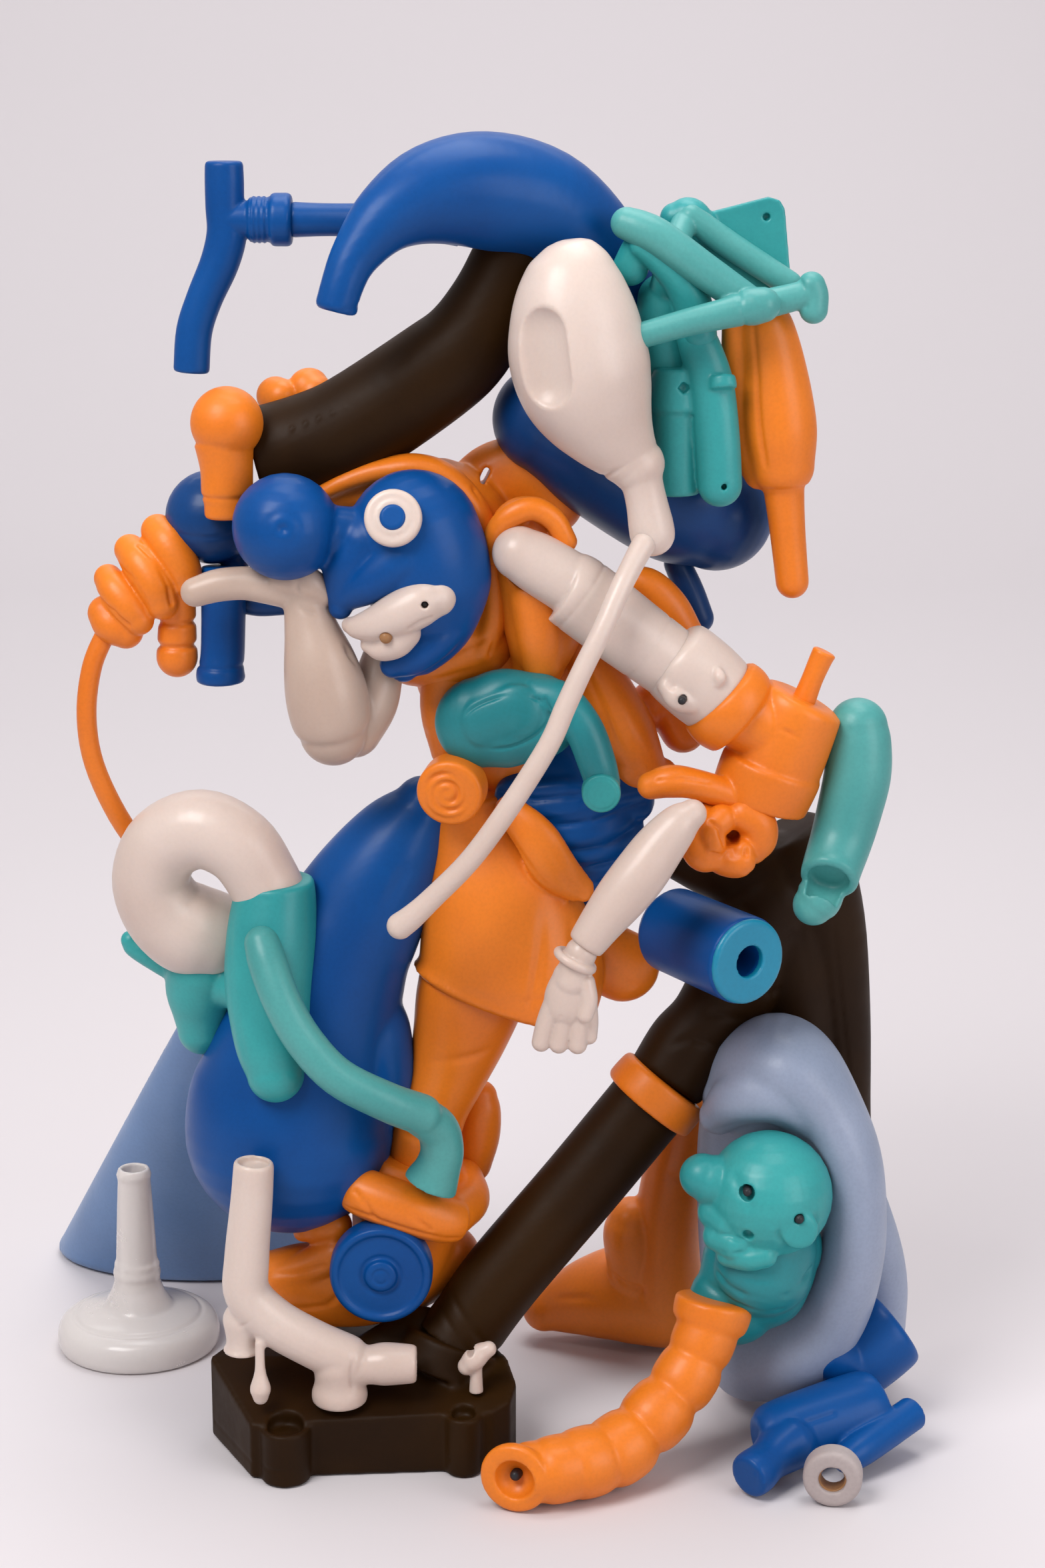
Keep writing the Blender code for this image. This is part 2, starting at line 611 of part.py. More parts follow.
def horn():
    """The fat cream teardrop with a slanted hollow in its left face and a stepped neck."""
    drop = limb([(25, -18, 376, 15.0), (26, -18, 363, 20.6), (30, -18, 346, 20.8), (37, -18, 334, 15.5),
                 (44.6, -18, 324.5, 8.8)], sides=14, depth=0.9)
    neck = limb([(46, -18, 322, 6.5), (48, -18, 312, 6.7), (49.7, -18, 303, 6.8)])
    hollow = limb([(14.5, -38, 367, 6.5), (12.5, -38, 358, 9.0), (14, -38, 348, 8.0), (17, -36, 341, 6.0)])
    solid("horn", "cream", [drop, neck], holes=[hollow], around=["blue_arch", "teal_frame"])


def thin_rod():
    """The long thin cream rod that hangs from the horn's tip and crosses the figure."""
    rod = limb([(48.6, -25.4, 298, 3.2), (45.6, -33, 292.4, 3.2), (39, -38, 281, 3.3), (29, -40, 260, 3.3), (18, -41, 240, 3.3),
                (6, -41, 222, 3.4), (-6, -40, 205, 3.4), (-18, -38, 192, 3.5), (-27, -36, 183, 4.0)],
               sides=8)
    solid("thin_rod", "cream", [rod], around=["horn"])


def blue_capsule():
    body = limb([(18, 20, 333, 17.6), (38, 22, 321, 21.4), (60, 24, 308, 22.0), (72, 26, 302, 18.5)], sides=14)
    solid("blue_capsule", "navy", [body],
          around=["blue_arch", "horn", "teal_frame", "teal_link", "orange_bottle", "hood"])


def teal_frame():
    """The crossed teal bars with the tee end, the corner plate and the lower body behind them."""
    bars = [
        limb([(42, -8, 396, 4.2), (52, -10, 391, 4.6), (80, -12, 371, 4.3)], sides=8),
        limb([(46, -20, 363, 3.8), (80, -18, 371, 4.0), (85, -17, 372, 5.2)], sides=8),
        limb([(59, 6, 397, 4.3), (92, 2, 377, 3.8)], steps=1, sides=8),
        limb([(82, -8, 371, 4.0), (97, -8, 374, 3.8)], steps=1, sides=8),
        limb([(98, -8, 379, 3.9), (97, -8, 370, 3.7)], steps=1, sides=8),
    ]
    plate = limb([(69, 9, 397, 3.6), (78, 9, 396, 6.6), (85.4, 9, 391.4, 9.6)], "round", "soft", depth=0.35)
    block = ball(60, 10, 397, 6.6, sides=8)
    knuckle = limb([(43, -2, 382, 5.4), (47, -6, 392, 3.6)], steps=1, sides=8)
    curl = limb([(48, -8, 388, 4.0), (57, -6, 380, 5.4), (64, -5, 366, 6.0)], sides=8)
    brace = limb([(60, 6, 396, 4.0), (56, -6, 388, 4.0)], steps=1, sides=8)
    rear = limb([(53, 5, 368, 7.6), (55, 5, 354, 7.6)], steps=1, sides=8)
    rear_link = limb([(53, 5, 370, 5.0), (54, -4, 382, 4.0)], steps=1, sides=8)
    solid("teal_frame", "teal", [*bars, plate, block, knuckle, curl, brace, rear, rear_link],
          around=["teal_link", "blue_arch"])


def teal_link():
    """The upright teal link with its round lower end, and the lidded box beside it."""
    link = limb([(63, -4, 361, 6.4), (68, -6, 346, 7.0), (70, -7, 330, 7.0), (71, -7, 316, 6.8)], depth=0.8)
    box = limb([(58, 0, 350, 7.8), (58, 0, 311, 7.8)], "soft", "soft", steps=1, sides=8)
    solid("teal_link", "teal", [link, box], around=["horn", "orange_bottle"])


def orange_bottle():
    body = limb([(86, 2, 366, 8.0), (87.4, 2, 355, 9.8), (89.8, 2, 336, 11.6), (91, 2, 322, 10.8)], "soft", "round")
    neck = limb([(91.6, 2, 320, 6.4), (93.6, 2, 302, 5.6), (95, 2, 284, 5.0)], "flat", "round")
    solid("orange_bottle", "orange", [body, neck], around=["teal_frame"])


# ---- right arm ------------------------------------------------------------------------------------------


def shoulder_sleeve():
    """The open orange sleeve at the shoulder."""
    sleeve = limb([(12, 0, 299, 12.2), (15, 0, 287, 13.4), (16, 0, 272, 12.4), (15, 2, 259, 9.0)])
    mouth = limb([(8, -20, 297, 9.6), (30, -20, 290, 13.0)], "round", "flat", steps=1)
    solid("shoulder_sleeve", "orange", [sleeve], holes=[mouth], around=["right_arm", "pouch"])


def right_arm():
    inner = limb([(10, -15, 295, 9.0), (28, -15, 285, 9.6)], steps=1)
    outer = limb([(25, -15, 287, 11.2), (42, -15, 275, 11.4), (59, -14, 261, 10.8)], "soft", "flat", sides=14)
    solid("right_arm", "cream", [inner, outer])


def arm_cuff():
    cuff = limb([(57, -14, 263, 13.4), (64, -14, 257, 13.8), (71, -14, 251, 13.4)], "soft", "soft", sides=16)
    solid("arm_cuff", "cream", [cuff], around=["right_arm"])


def canister():
    """The orange end of the arm: a cuff ring, the can, its lip and the strap to the fist."""
    ring = limb([(72, -14, 250, 14.4), (79, -14, 244, 13.6)], "soft", "soft", steps=1, sides=16)
    can = limb([(97, -12, 248, 13.4), (89, -12, 227, 14.6)], "soft", "flat", steps=1, sides=16)
    lip = limb([(88.5, -12, 228, 15.8), (84, -12, 216, 15.2)], "soft", "soft", steps=1, sides=16)
    strap = limb([(53, -22, 223, 4.6), (62, -22, 225, 4.8), (74, -20, 221, 5.0)])
    solid("canister", "orange", [ring, can, lip, strap], around=["arm_cuff"])


def canister_lever():
    stick = limb([(98, -14, 252, 3.6), (104, -14, 265, 3.7)], "flat", "round", steps=1)
    solid("canister_lever", "orange", [stick], around=["canister"])


def right_fist():
    """The orange fist below the can, closed round a small hole."""
    knuckles = limb([(68, -22, 212, 6.0), (65, -22, 205, 6.0), (72, -22, 202, 6.0), (79, -22, 202, 6.0),
                     (84, -22, 208, 6.2)])
    top = limb([(67, -22, 213, 6.0), (79, -22, 214, 6.6), (84, -22, 208, 6.4)])
    solid("right_fist", "orange", [knuckles, top], around=["canister"])


def hanging_forearm():
    forearm = limb([(61, -38, 219, 5.0), (54, -40, 212, 7.4), (46, -42, 201, 8.5), (37, -44, 190, 7.6),
                    (29, -46, 179, 5.8)], "round", "soft")
    solid("hanging_forearm", "cream", [forearm], around=["canister", "right_fist"])


def hanging_hand():
    """The slack cream hand with a bangle and three fingers."""
    bangle = disc((26.5, -46, 175), (0.6, 0, 1), 7.0, 3.4)
    palm = limb([(26, -46, 172, 5.2), (23.5, -46, 160, 8.0)], "flat", "round")
    fingers = [
        limb([(19, -46, 162, 3.6), (16, -46, 149, 3.2)], steps=1, sides=8),
        limb([(23.5, -46, 160, 3.6), (24, -46, 148, 3.2)], steps=1, sides=8),
        limb([(28, -46, 161, 3.6), (29, -46, 150, 3.2)], steps=1, sides=8),
    ]
    solid("hanging_hand", "cream", [bangle, palm, *fingers], around=["hanging_forearm"])


def teal_hose():
    """The short bent teal hose that hangs at the can's right, open at its lower end."""
    hose = limb([(118, -8, 242, 8.8), (117, -10, 226, 9.8), (112, -12, 209, 9.6), (106.5, -17.5, 201, 9.6)],
                "round", "soft")
    tongue = limb([(105, -17, 196, 6.8), (102.5, -18, 189.6, 6.6)], steps=1)
    mouth = limb([(103, -22.5, 195.4, 5.8), (107.6, -16.2, 202.4, 5.8)], "flat", "round", steps=1)
    solid("teal_hose", "teal", [hose, tongue], holes=[mouth], around=["canister"])


def roller():
    """The short blue roller with a bored end."""
    body = limb([(57, 4.3, 170.1, 13.8), (81, -30, 169, 14.2)], "soft", "soft", steps=1, sides=20)
    bore = limb([(74, -20, 169, 5.2), (84, -34, 169, 5.2)], "flat", "flat", steps=1)
    solid("roller", "blue", [body], holes=[bore])


# ---- lower right ------------------------------------------------------------------------------------------


def hood_ring():
    """The tall grey-blue hoop that hoods the teal head."""
    right_side = limb([(82, 8, 115, 13.0), (93, 3, 124, 17.6), (106, -1, 112, 16.4), (115, -3, 86, 13.6),
                       (113, -2, 54, 14.4), (99, 2, 24, 16.5), (87, 10, 19, 15.0)])
    left_side = limb([(89, 12, 20, 14.0), (79, 24, 46, 12.0), (77, 22, 88, 13.4), (85, 9, 117, 13.0)])
    shin = limb([(120, 8, 76, 9.0), (129, 20, 44, 10.5), (131, 24, 24, 10.0)])
    solid("hood_ring", "grey_blue", [right_side, left_side, shin], around=["lower_tube", "tube_ring", "teal_head"])


def teal_head():
    """The small teal head: a ball with two ears and a snout."""
    skull = ball(90, -25, 87, 19.8, sides=14)
    left_ear = limb([(68, -27, 96, 8.2), (79, -26, 92, 7.4)], steps=1)
    snout = limb([(72, -31, 84, 6.0), (73, -33, 77, 5.6), (79, -34, 74, 5.6)])
    right_ear = disc((97.6, -41.6, 84), (0.4, -1, 0), 6.2, 7.0)
    solid("teal_head", "teal", [skull, left_ear, snout, right_ear])


def teal_shirt():
    shirt = limb([(90, -17, 66, 17.0), (84, -18, 56, 18.5), (78, -19, 50, 14.5)], depth=0.8)
    solid("teal_shirt", "teal", [shirt], around=["teal_head", "hood_ring"])


def worm_arm():
    """The orange segmented hose arm that lies on the floor and ends in a disc with a small hole."""
    cuff = limb([(72, -26, 53, 11.6), (70, -28, 46, 11.6)], "soft", "soft", steps=1, sides=16)
    segments = [(70, -30, 45, 10.4), (64, -35, 33, 10.6), (54, -42, 22, 11.2), (40, -52, 13, 12.0),
                (26, -60, 11, 10.8)]
    chain = limb([*segments, (16, -63, 11, 9.8), (9, -64, 11.5, 8.0)], "flat", "flat")
    flange = disc((8, -67, 11.6), (0.35, 1, 0), 11.2, 7.0)
    hole = limb([(6, -72.6, 11.6, 2.0), (8, -67, 11.6, 2.0)], "flat", "flat", steps=1, sides=8)
    solid("worm_arm", "orange", [cuff, chain, flange], holes=[hole],
          around=["hood_ring", "teal_shirt", "lower_tube", "base_block"])


def back_bottles():
    """The upper pair of blue bottles, crossed behind."""
    upper = limb([(120, -2, 17, 12.0), (138, 4, 30, 12.0)], "soft", "soft", steps=1, sides=16)
    stub = limb([(108, -14, 30, 8.6), (118, -8, 22, 9.6)], "soft", "round", steps=1)
    solid("back_bottles", "blue", [upper, stub], around=["hood_ring"])


def front_bottles():
    """The long blue bottle with its neck, and the thin one beneath."""
    body = limb([(88, -38, 14, 10.4), (108, -30, 15, 11.2), (126, -22, 20, 11.4)], "soft", "soft", sides=16)
    neck = limb([(82, -60, 7, 6.4), (92, -46, 11, 7.2)], "soft", "round", steps=1)
    thin = limb([(115, -46, 8, 5.2), (138, -26, 14, 5.6)], "round", "soft", steps=1)
    solid("front_bottles", "blue", [body, neck, thin], around=["hood_ring", "back_bottles", "grey_ring"])


def grey_ring():
    """The loose grey-beige ring that leans on the front bottle."""
    ring = disc((108, -62, 9.6), (0.15, 1, 0), 9.4, 8.0, sides=20)
    bore = limb([(105, -82, 9.6, 4.4), (111, -42, 9.6, 4.4)], "flat", "flat", steps=1)
    solid("grey_ring", "grey", [ring], holes=[bore])


def back_leg():
    """The orange leg at the back, with its long shoe on the floor."""
    shin = limb([(66, 44, 92, 9.0), (62, 46, 66, 11.0), (60, 46, 40, 12.0), (60, 46, 16, 12.0)])
    shoe = limb([(19, 62, 12, 8.6), (32, 61, 16, 14.0), (49, 58, 19, 17.6), (61, 55, 19, 17.6)])
    lobe = limb([(48, 48, 49, 9.6), (50, 50, 24, 9.0)], steps=1, sides=8)
    solid("back_leg", "orange", [shin, shoe, lobe], around=["hood_ring", "lower_tube", "trousers"])


PIECES = [
    lower_tube, elbow_pipe, wheel_disc, boot, base_block, base_pin, drain_pipe, thin_rod, hanging_forearm,
    hanging_hand, ring_hook, hook_sleeve, roller, hood_ring, trousers, tube_ring, spiral_knob, skirt, leg,
    balloon_leg, spindle_disc, support_cone, pouch_dial, pouch, right_arm, arm_cuff, canister, canister_lever,
    right_fist, teal_hose, shoulder_sleeve, eye_ring, jaw_insert, mask_head, left_forearm, waist_sash, torso,
    hood, blue_handle, orange_hose, left_fist, left_ball, bulb_fitting, lobed_knob, crank_shaft, blue_arch,
    crank_handle, teal_link, teal_frame, horn, orange_bottle, blue_capsule, upper_tube,
    teal_shirt, teal_head, back_bottles, grey_ring, front_bottles, worm_arm, back_leg,
]


def main():
    clear_scene()
    collection = new_collection("figure_kit")
    origin = bpy.data.objects.new("kit_origin", None)
    origin.location = SHIFT * MM
    collection.objects.link(origin)
    for plan in PIECES:
        plan()
    for name in nodes:
        make_node(name, collection, origin)


main()
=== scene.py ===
"""The looks of the moulded-plastic figure kit: smooth vinyl forms, folds and seams, light and camera.

Each CAD node is replaced by a finely meshed form. A form is made of limbs, and a limb is a round sweep
through stations (x, y, z, radius) in millimetres, in the part's own drawing frame, whose origin in the
row frame is worked out from the base's mount.
"""

import json
import math

import bmesh
import bpy
import numpy as np
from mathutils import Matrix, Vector


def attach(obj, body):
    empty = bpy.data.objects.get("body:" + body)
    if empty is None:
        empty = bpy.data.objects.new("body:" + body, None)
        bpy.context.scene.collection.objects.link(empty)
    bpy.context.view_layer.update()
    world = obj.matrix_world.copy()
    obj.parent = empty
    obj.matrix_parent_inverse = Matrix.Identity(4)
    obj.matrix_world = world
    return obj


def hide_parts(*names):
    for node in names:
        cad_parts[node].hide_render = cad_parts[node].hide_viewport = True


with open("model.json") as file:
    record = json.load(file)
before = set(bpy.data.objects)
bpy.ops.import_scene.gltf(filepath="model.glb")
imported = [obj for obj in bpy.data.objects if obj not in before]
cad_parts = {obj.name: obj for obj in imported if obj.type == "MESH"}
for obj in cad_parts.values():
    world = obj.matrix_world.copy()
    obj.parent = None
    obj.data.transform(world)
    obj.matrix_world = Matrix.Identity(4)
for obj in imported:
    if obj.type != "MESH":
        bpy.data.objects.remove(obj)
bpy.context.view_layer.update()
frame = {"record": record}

MM = 0.001
BASE_MOUNT = Vector((-40, -15, 0)) * MM  # the base's mount in the drawing frame
ORIGIN = Vector(frame["record"]["mounts"][0]["pos_m"]) - BASE_MOUNT
SOFT_EDGE_SHARE = 0.2  # of the radius, for the rounded edge of a soft end
SOFT_EDGE_LIMIT = 1.6  # mm
END_STEP = 12  # degrees between the rings of a rounded end
SHRINK, GROW = 0.6, -0.63  # the two strengths of Taubin smoothing
BODY_OF = {node: body for body, members in frame["record"]["behaviour"]["bodies"].items() for node in members}


# ---- limbs ------------------------------------------------------------------------------------


def limb(stations, start="round", end="round", steps=5, sides=28, depth=1.0, lean=(0.0, 0.0)):
    """A round sweep. An end is round, soft (flat with a rounded edge) or flat.

    depth scales it front to back, and lean shifts it in x and y for each millimetre of height.
    """
    return {"stations": stations, "ends": (start, end), "steps": steps, "sides": sides, "depth": depth,
        "lean": lean}


def ball(x, y, z, radius):
    return limb([(x, y, z - 0.01, radius), (x, y, z + 0.01, radius)], steps=1, sides=40)


def disc(centre, axis, radius, thickness, sides=56):
    middle = Vector(centre)
    reach = Vector(axis).normalized() * thickness / 2
    return limb([(*(middle - reach), radius), (*(middle + reach), radius)], "soft", "soft", steps=1,
        sides=sides)


def smooth_path(stations, steps):
    """Catmull-Rom points through the stations, with the radius carried along as a fourth value."""
    knots = [Vector(station) for station in stations]
    if len(knots) == 2 or steps == 1:
        return knots
    knots = [2 * knots[0] - knots[1], *knots, 2 * knots[-1] - knots[-2]]
    path = []
    for i in range(1, len(knots) - 2):
        before, here, there, after = knots[i - 1 : i + 3]
        for step in range(steps):
            t = step / steps
            bend = 2 * before - 5 * here + 4 * there - after
            twist = 3 * (here - there) + after - before
            path.append(here + 0.5 * t * (there - before) + 0.5 * t * t * bend + 0.5 * t**3 * twist)
    path.append(knots[-2])
    return path


def end_rings(tip, inner, style):
    """The rings that finish a limb at its tip, going outwards from the last full ring."""
    place = Vector(tip[:3])
    outward = (place - Vector(inner[:3])).normalized()
    radius = tip[3]
    quarter = [math.radians(angle) for angle in range(0, 90, END_STEP)]
    if style == "round":
        return [(*(place + outward * radius * math.sin(a)), radius * math.cos(a)) for a in quarter]
    if style == "flat":
        return [(*place, radius)]
    edge = min(SOFT_EDGE_SHARE * radius, SOFT_EDGE_LIMIT)
    corner = place - outward * edge
    rounded = [(*(corner + outward * edge * math.sin(a)), radius - edge + edge * math.cos(a))
        for a in quarter]
    return [*rounded, (*place, radius - edge)]


def ring_points(path, sides):
    """Points round each station of a path, with the frame carried along so that the sides don't twist."""
    centres = np.array([station[:3] for station in path], float)
    radii = np.array([station[3] for station in path], float)
    tangents = np.gradient(centres, axis=0)
    for i in range(len(tangents)):
        length = np.linalg.norm(tangents[i])
        tangents[i] = tangents[i] / length if length > 1e-9 else tangents[i - 1]
    helper = np.array([0.0, 1.0, 0.0]) if abs(tangents[0][1]) < 0.9 else np.array([1.0, 0.0, 0.0])
    side = np.cross(tangents[0], helper)
    angles = np.linspace(0, 2 * math.pi, sides, endpoint=False)
    rings = []
    for centre, radius, tangent in zip(centres, radii, tangents):
        side = side - tangent * np.dot(side, tangent)
        side /= np.linalg.norm(side)
        other = np.cross(tangent, side)
        rings.append(centre + radius * (np.outer(np.cos(angles), side) + np.outer(np.sin(angles), other)))
    return np.array(rings)


def limb_object(shape):
    """The limb as a closed mesh object in the row frame, in metres."""
    depth = shape["depth"]
    stations = [(x, y / depth, z, radius) for x, y, z, radius in shape["stations"]]
    path = [tuple(point) for point in smooth_path(stations, shape["steps"])]
    first = end_rings(path[0], path[1], shape["ends"][0])
    last = end_rings(path[-1], path[-2], shape["ends"][1])
    rings = ring_points([*reversed(first), *path[1:-1], *last], shape["sides"])
    rings[:, :, 1] *= depth
    rings[:, :, 0] += shape["lean"][0] * rings[:, :, 2]
    rings[:, :, 1] += shape["lean"][1] * rings[:, :, 2]
    count, sides = rings.shape[:2]
    points = rings.reshape(-1, 3) * MM + np.array(ORIGIN)
    faces = [list(range(sides))[::-1], [(count - 1) * sides + i for i in range(sides)]]
    for ring in range(count - 1):
        low = ring * sides
        high = low + sides
        faces += [[low + i, low + (i + 1) % sides, high + (i + 1) % sides, high + i] for i in range(sides)]
    mesh = bpy.data.meshes.new("limb")
    mesh.from_pydata(points.tolist(), [], faces)
    return link(mesh, "limb")


def link(mesh, name):
    made = bpy.data.objects.new(name, mesh)
    bpy.context.scene.collection.objects.link(made)
    return made


# ---- mesh work ----------------------------------------------------------------------------------


def evaluated(thing):
    """The object with its modifiers applied, as a new mesh object. The old one is removed."""
    bpy.context.view_layer.update()
    graph = bpy.context.evaluated_depsgraph_get()
    mesh = bpy.data.meshes.new_from_object(thing.evaluated_get(graph))
    made = link(mesh, thing.name)
    bpy.data.objects.remove(thing, do_unlink=True)
    return made


def joined(members):
    """Limbs and mesh objects as one mesh object, left overlapping."""
    work = bmesh.new()
    for member in members:
        thing = member if isinstance(member, bpy.types.Object) else limb_object(member)
        work.from_mesh(thing.data)
        bpy.data.objects.remove(thing, do_unlink=True)
    mesh = bpy.data.meshes.new("joined")
    work.to_mesh(mesh)
    work.free()
    return link(mesh, "joined")


def remeshed(thing, voxel):
    modifier = thing.modifiers.new("Remesh", "REMESH")
    modifier.mode = "VOXEL"
    modifier.voxel_size = voxel * MM
    modifier.use_smooth_shade = True
    return evaluated(thing)


def cut(thing, cutter):
    """Cuts one mesh object from another. The cutter is used up."""
    modifier = thing.modifiers.new("Cut", "BOOLEAN")
    modifier.operation = "DIFFERENCE"
    modifier.solver = "EXACT"
    modifier.object = cutter
    made = evaluated(thing)
    bpy.data.objects.remove(cutter, do_unlink=True)
    return made


def carved(thing, shapes):
    for shape in shapes:
        thing = cut(thing, limb_object(shape))
    return thing


def coordinates(mesh):
    points = np.empty(len(mesh.vertices) * 3, np.float32)
    mesh.vertices.foreach_get("co", points)
    return points.reshape(-1, 3).astype(float)


def normals(mesh):
    values = np.empty(len(mesh.vertices) * 3, np.float32)
    mesh.vertices.foreach_get("normal", values)
    return values.reshape(-1, 3).astype(float)


def set_coordinates(mesh, points):
    mesh.vertices.foreach_set("co", points.astype(np.float32).ravel())
    mesh.update()


def relaxed(thing, rounds):
    """Taubin smoothing: it rounds off facets and creases and keeps the volume."""
    mesh = thing.data
    points = coordinates(mesh)
    edges = np.empty(len(mesh.edges) * 2, np.int32)
    mesh.edges.foreach_get("vertices", edges)
    edges = edges.reshape(-1, 2)
    ends = np.concatenate([edges[:, 0], edges[:, 1]])
    others = np.concatenate([edges[:, 1], edges[:, 0]])
    degree = np.maximum(np.bincount(ends, minlength=len(points)), 1)
    for _ in range(rounds):
        for strength in (SHRINK, GROW):
            sums = [np.bincount(ends, weights=column, minlength=len(points)) for column in points[others].T]
            sums = np.stack(sums, axis=1)
            points += strength * (sums / degree[:, None] - points)
    set_coordinates(mesh, points)
    return thing


def distance_to_line(points, line):
    """Distance in mm from each point to a polyline given in the drawing frame."""
    drawn = (points - np.array(ORIGIN)) / MM
    nearest = np.full(len(points), 1e9)
    stations = np.array(line, float)
    if len(stations) == 1:
        return np.linalg.norm(drawn - stations[0], axis=1)
    for a, b in zip(stations[:-1], stations[1:]):
        along = b - a
        t = np.clip((drawn - a) @ along / max(along @ along, 1e-9), 0, 1)
        nearest = np.minimum(nearest, np.linalg.norm(drawn - a - t[:, None] * along, axis=1))
    return nearest


def pressed(thing, line, width, deep):
    """Presses a groove of that width and depth (mm) along a line. A negative depth raises a ridge."""
    points = coordinates(thing.data)
    away = distance_to_line(points, line)
    amount = deep * MM * np.exp(-((away / width) ** 2))
    set_coordinates(thing.data, points - normals(thing.data) * amount[:, None])


def arc(centre, radius, start=0, stop=360, across=(1, 0, 0), up=(0, 0, 1), count=24):
    """Points on part of a circle, with angles in degrees from across towards up."""
    centre, across, up = Vector(centre), Vector(across).normalized(), Vector(up).normalized()
    angles = [math.radians(start + (stop - start) * i / (count - 1)) for i in range(count)]
    return [tuple(centre + (across * math.cos(a) + up * math.sin(a)) * radius) for a in angles]


def finished(name, thing, slot, body, nodes=()):
    """Names a piece, shades it smooth, gives it its material and makes it ride."""
    thing.name = name
    thing.data.name = name
    thing.data.materials.clear()
    thing.data.materials.append(MATERIALS[slot])
    thing.data.polygons.foreach_set("use_smooth", [True] * len(thing.data.polygons))
    thing.data.update()
    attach(thing, body)
    for node in nodes:
        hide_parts(node)


def moulded(members, holes=(), voxel=0.8, rounds=12, grooves=()):
    """Limbs and mesh objects fused into one surface, hollowed, smoothed and creased."""
    thing = remeshed(joined(members), voxel)
    if holes:
        thing = remeshed(carved(thing, holes), voxel)
    thing = relaxed(thing, rounds)
    for line, width, deep in grooves:
        pressed(thing, line, width, deep)
    return thing


def form(node, slot, members, **making):
    """The piece that stands for a CAD node."""
    finished(node + "_form", moulded(members, **making), slot, BODY_OF[node], [node])


def extra(name, slot, body, members, **making):
    """A piece with no CAD node of its own, such as a dark plug of painted shade at the bottom of a hole."""
    finished(name + "_form", moulded(members, **making), slot, body)


# ---- materials --------------------------------------------------------------------------------------

CLOUD_SCALE = 18
SPECK_SCALE = 900
SCUFF_SCALE = 60
PEEL_SCALE = 420
PEEL_HEIGHT = 0.0006  # metres
COAT_ROUGHNESS = 0.16
SCUFF_RANGE = (0.3, 0.7)  # the part of the noise that is used
SCUFF_SPREAD = (-0.06, 0.08)  # what the scuffs add to the roughness
WAX_RADIUS = (1.0, 0.6, 0.4)
WAX_SCALE = 0.004  # metres
CLEAR_IOR = 1.3


def vinyl(name, lit, shade, roughness, grain=0.02, waxy=0.0, coat=0.15, see_through=0.0, speckle=0.6,
        specular=0.4):
    """Moulded vinyl: soft colour clouds, a faint orange-peel skin, fine scuffs and a thin clear gloss."""
    made = bpy.data.materials.new(name)
    made.use_nodes = True
    tree = made.node_tree
    shader = tree.nodes["Principled BSDF"]
    place = tree.nodes.new("ShaderNodeTexCoord").outputs["Object"]

    def noise(scale, detail, rough=0.5):
        node = tree.nodes.new("ShaderNodeTexNoise")
        node.inputs["Scale"].default_value = scale
        node.inputs["Detail"].default_value = detail
        node.inputs["Roughness"].default_value = rough
        tree.links.new(place, node.inputs["Vector"])
        return node.outputs["Fac"]

    def ramp(source, stops):
        node = tree.nodes.new("ShaderNodeValToRGB")
        tree.links.new(source, node.inputs["Fac"])
        for element, (position, colour) in zip(node.color_ramp.elements, stops):
            element.position = position
            element.color = (*colour, 1)
        return node.outputs["Color"]

    clouds = ramp(noise(CLOUD_SCALE, 3), [(0.35, shade), (0.62, lit)])
    speck = ramp(noise(SPECK_SCALE, 2), [(0.30, (0.90, 0.90, 0.90)), (0.60, (1, 1, 1))])
    mix = tree.nodes.new("ShaderNodeMix")
    mix.data_type = "RGBA"
    mix.blend_type = "MULTIPLY"
    mix.inputs["Factor"].default_value = speckle
    tree.links.new(clouds, mix.inputs["A"])
    tree.links.new(speck, mix.inputs["B"])
    tree.links.new(mix.outputs["Result"], shader.inputs["Base Color"])
    scuffs = tree.nodes.new("ShaderNodeMapRange")
    tree.links.new(noise(SCUFF_SCALE, 6, 0.65), scuffs.inputs["Value"])
    scuffs.inputs["From Min"].default_value = SCUFF_RANGE[0]
    scuffs.inputs["From Max"].default_value = SCUFF_RANGE[1]
    scuffs.inputs["To Min"].default_value = roughness + SCUFF_SPREAD[0]
    scuffs.inputs["To Max"].default_value = roughness + SCUFF_SPREAD[1]
    tree.links.new(scuffs.outputs["Result"], shader.inputs["Roughness"])
    peel = tree.nodes.new("ShaderNodeBump")
    peel.inputs["Strength"].default_value = grain
    peel.inputs["Distance"].default_value = PEEL_HEIGHT
    tree.links.new(noise(PEEL_SCALE, 2), peel.inputs["Height"])
    tree.links.new(peel.outputs["Normal"], shader.inputs["Normal"])
    shader.inputs["Coat Weight"].default_value = coat
    shader.inputs["Coat Roughness"].default_value = COAT_ROUGHNESS
    shader.inputs["Specular IOR Level"].default_value = specular
    if waxy:
        shader.inputs["Subsurface Weight"].default_value = waxy
        shader.inputs["Subsurface Radius"].default_value = WAX_RADIUS
        shader.inputs["Subsurface Scale"].default_value = WAX_SCALE
    if see_through:
        shader.inputs["Transmission Weight"].default_value = see_through
        shader.inputs["IOR"].default_value = CLEAR_IOR
    return made


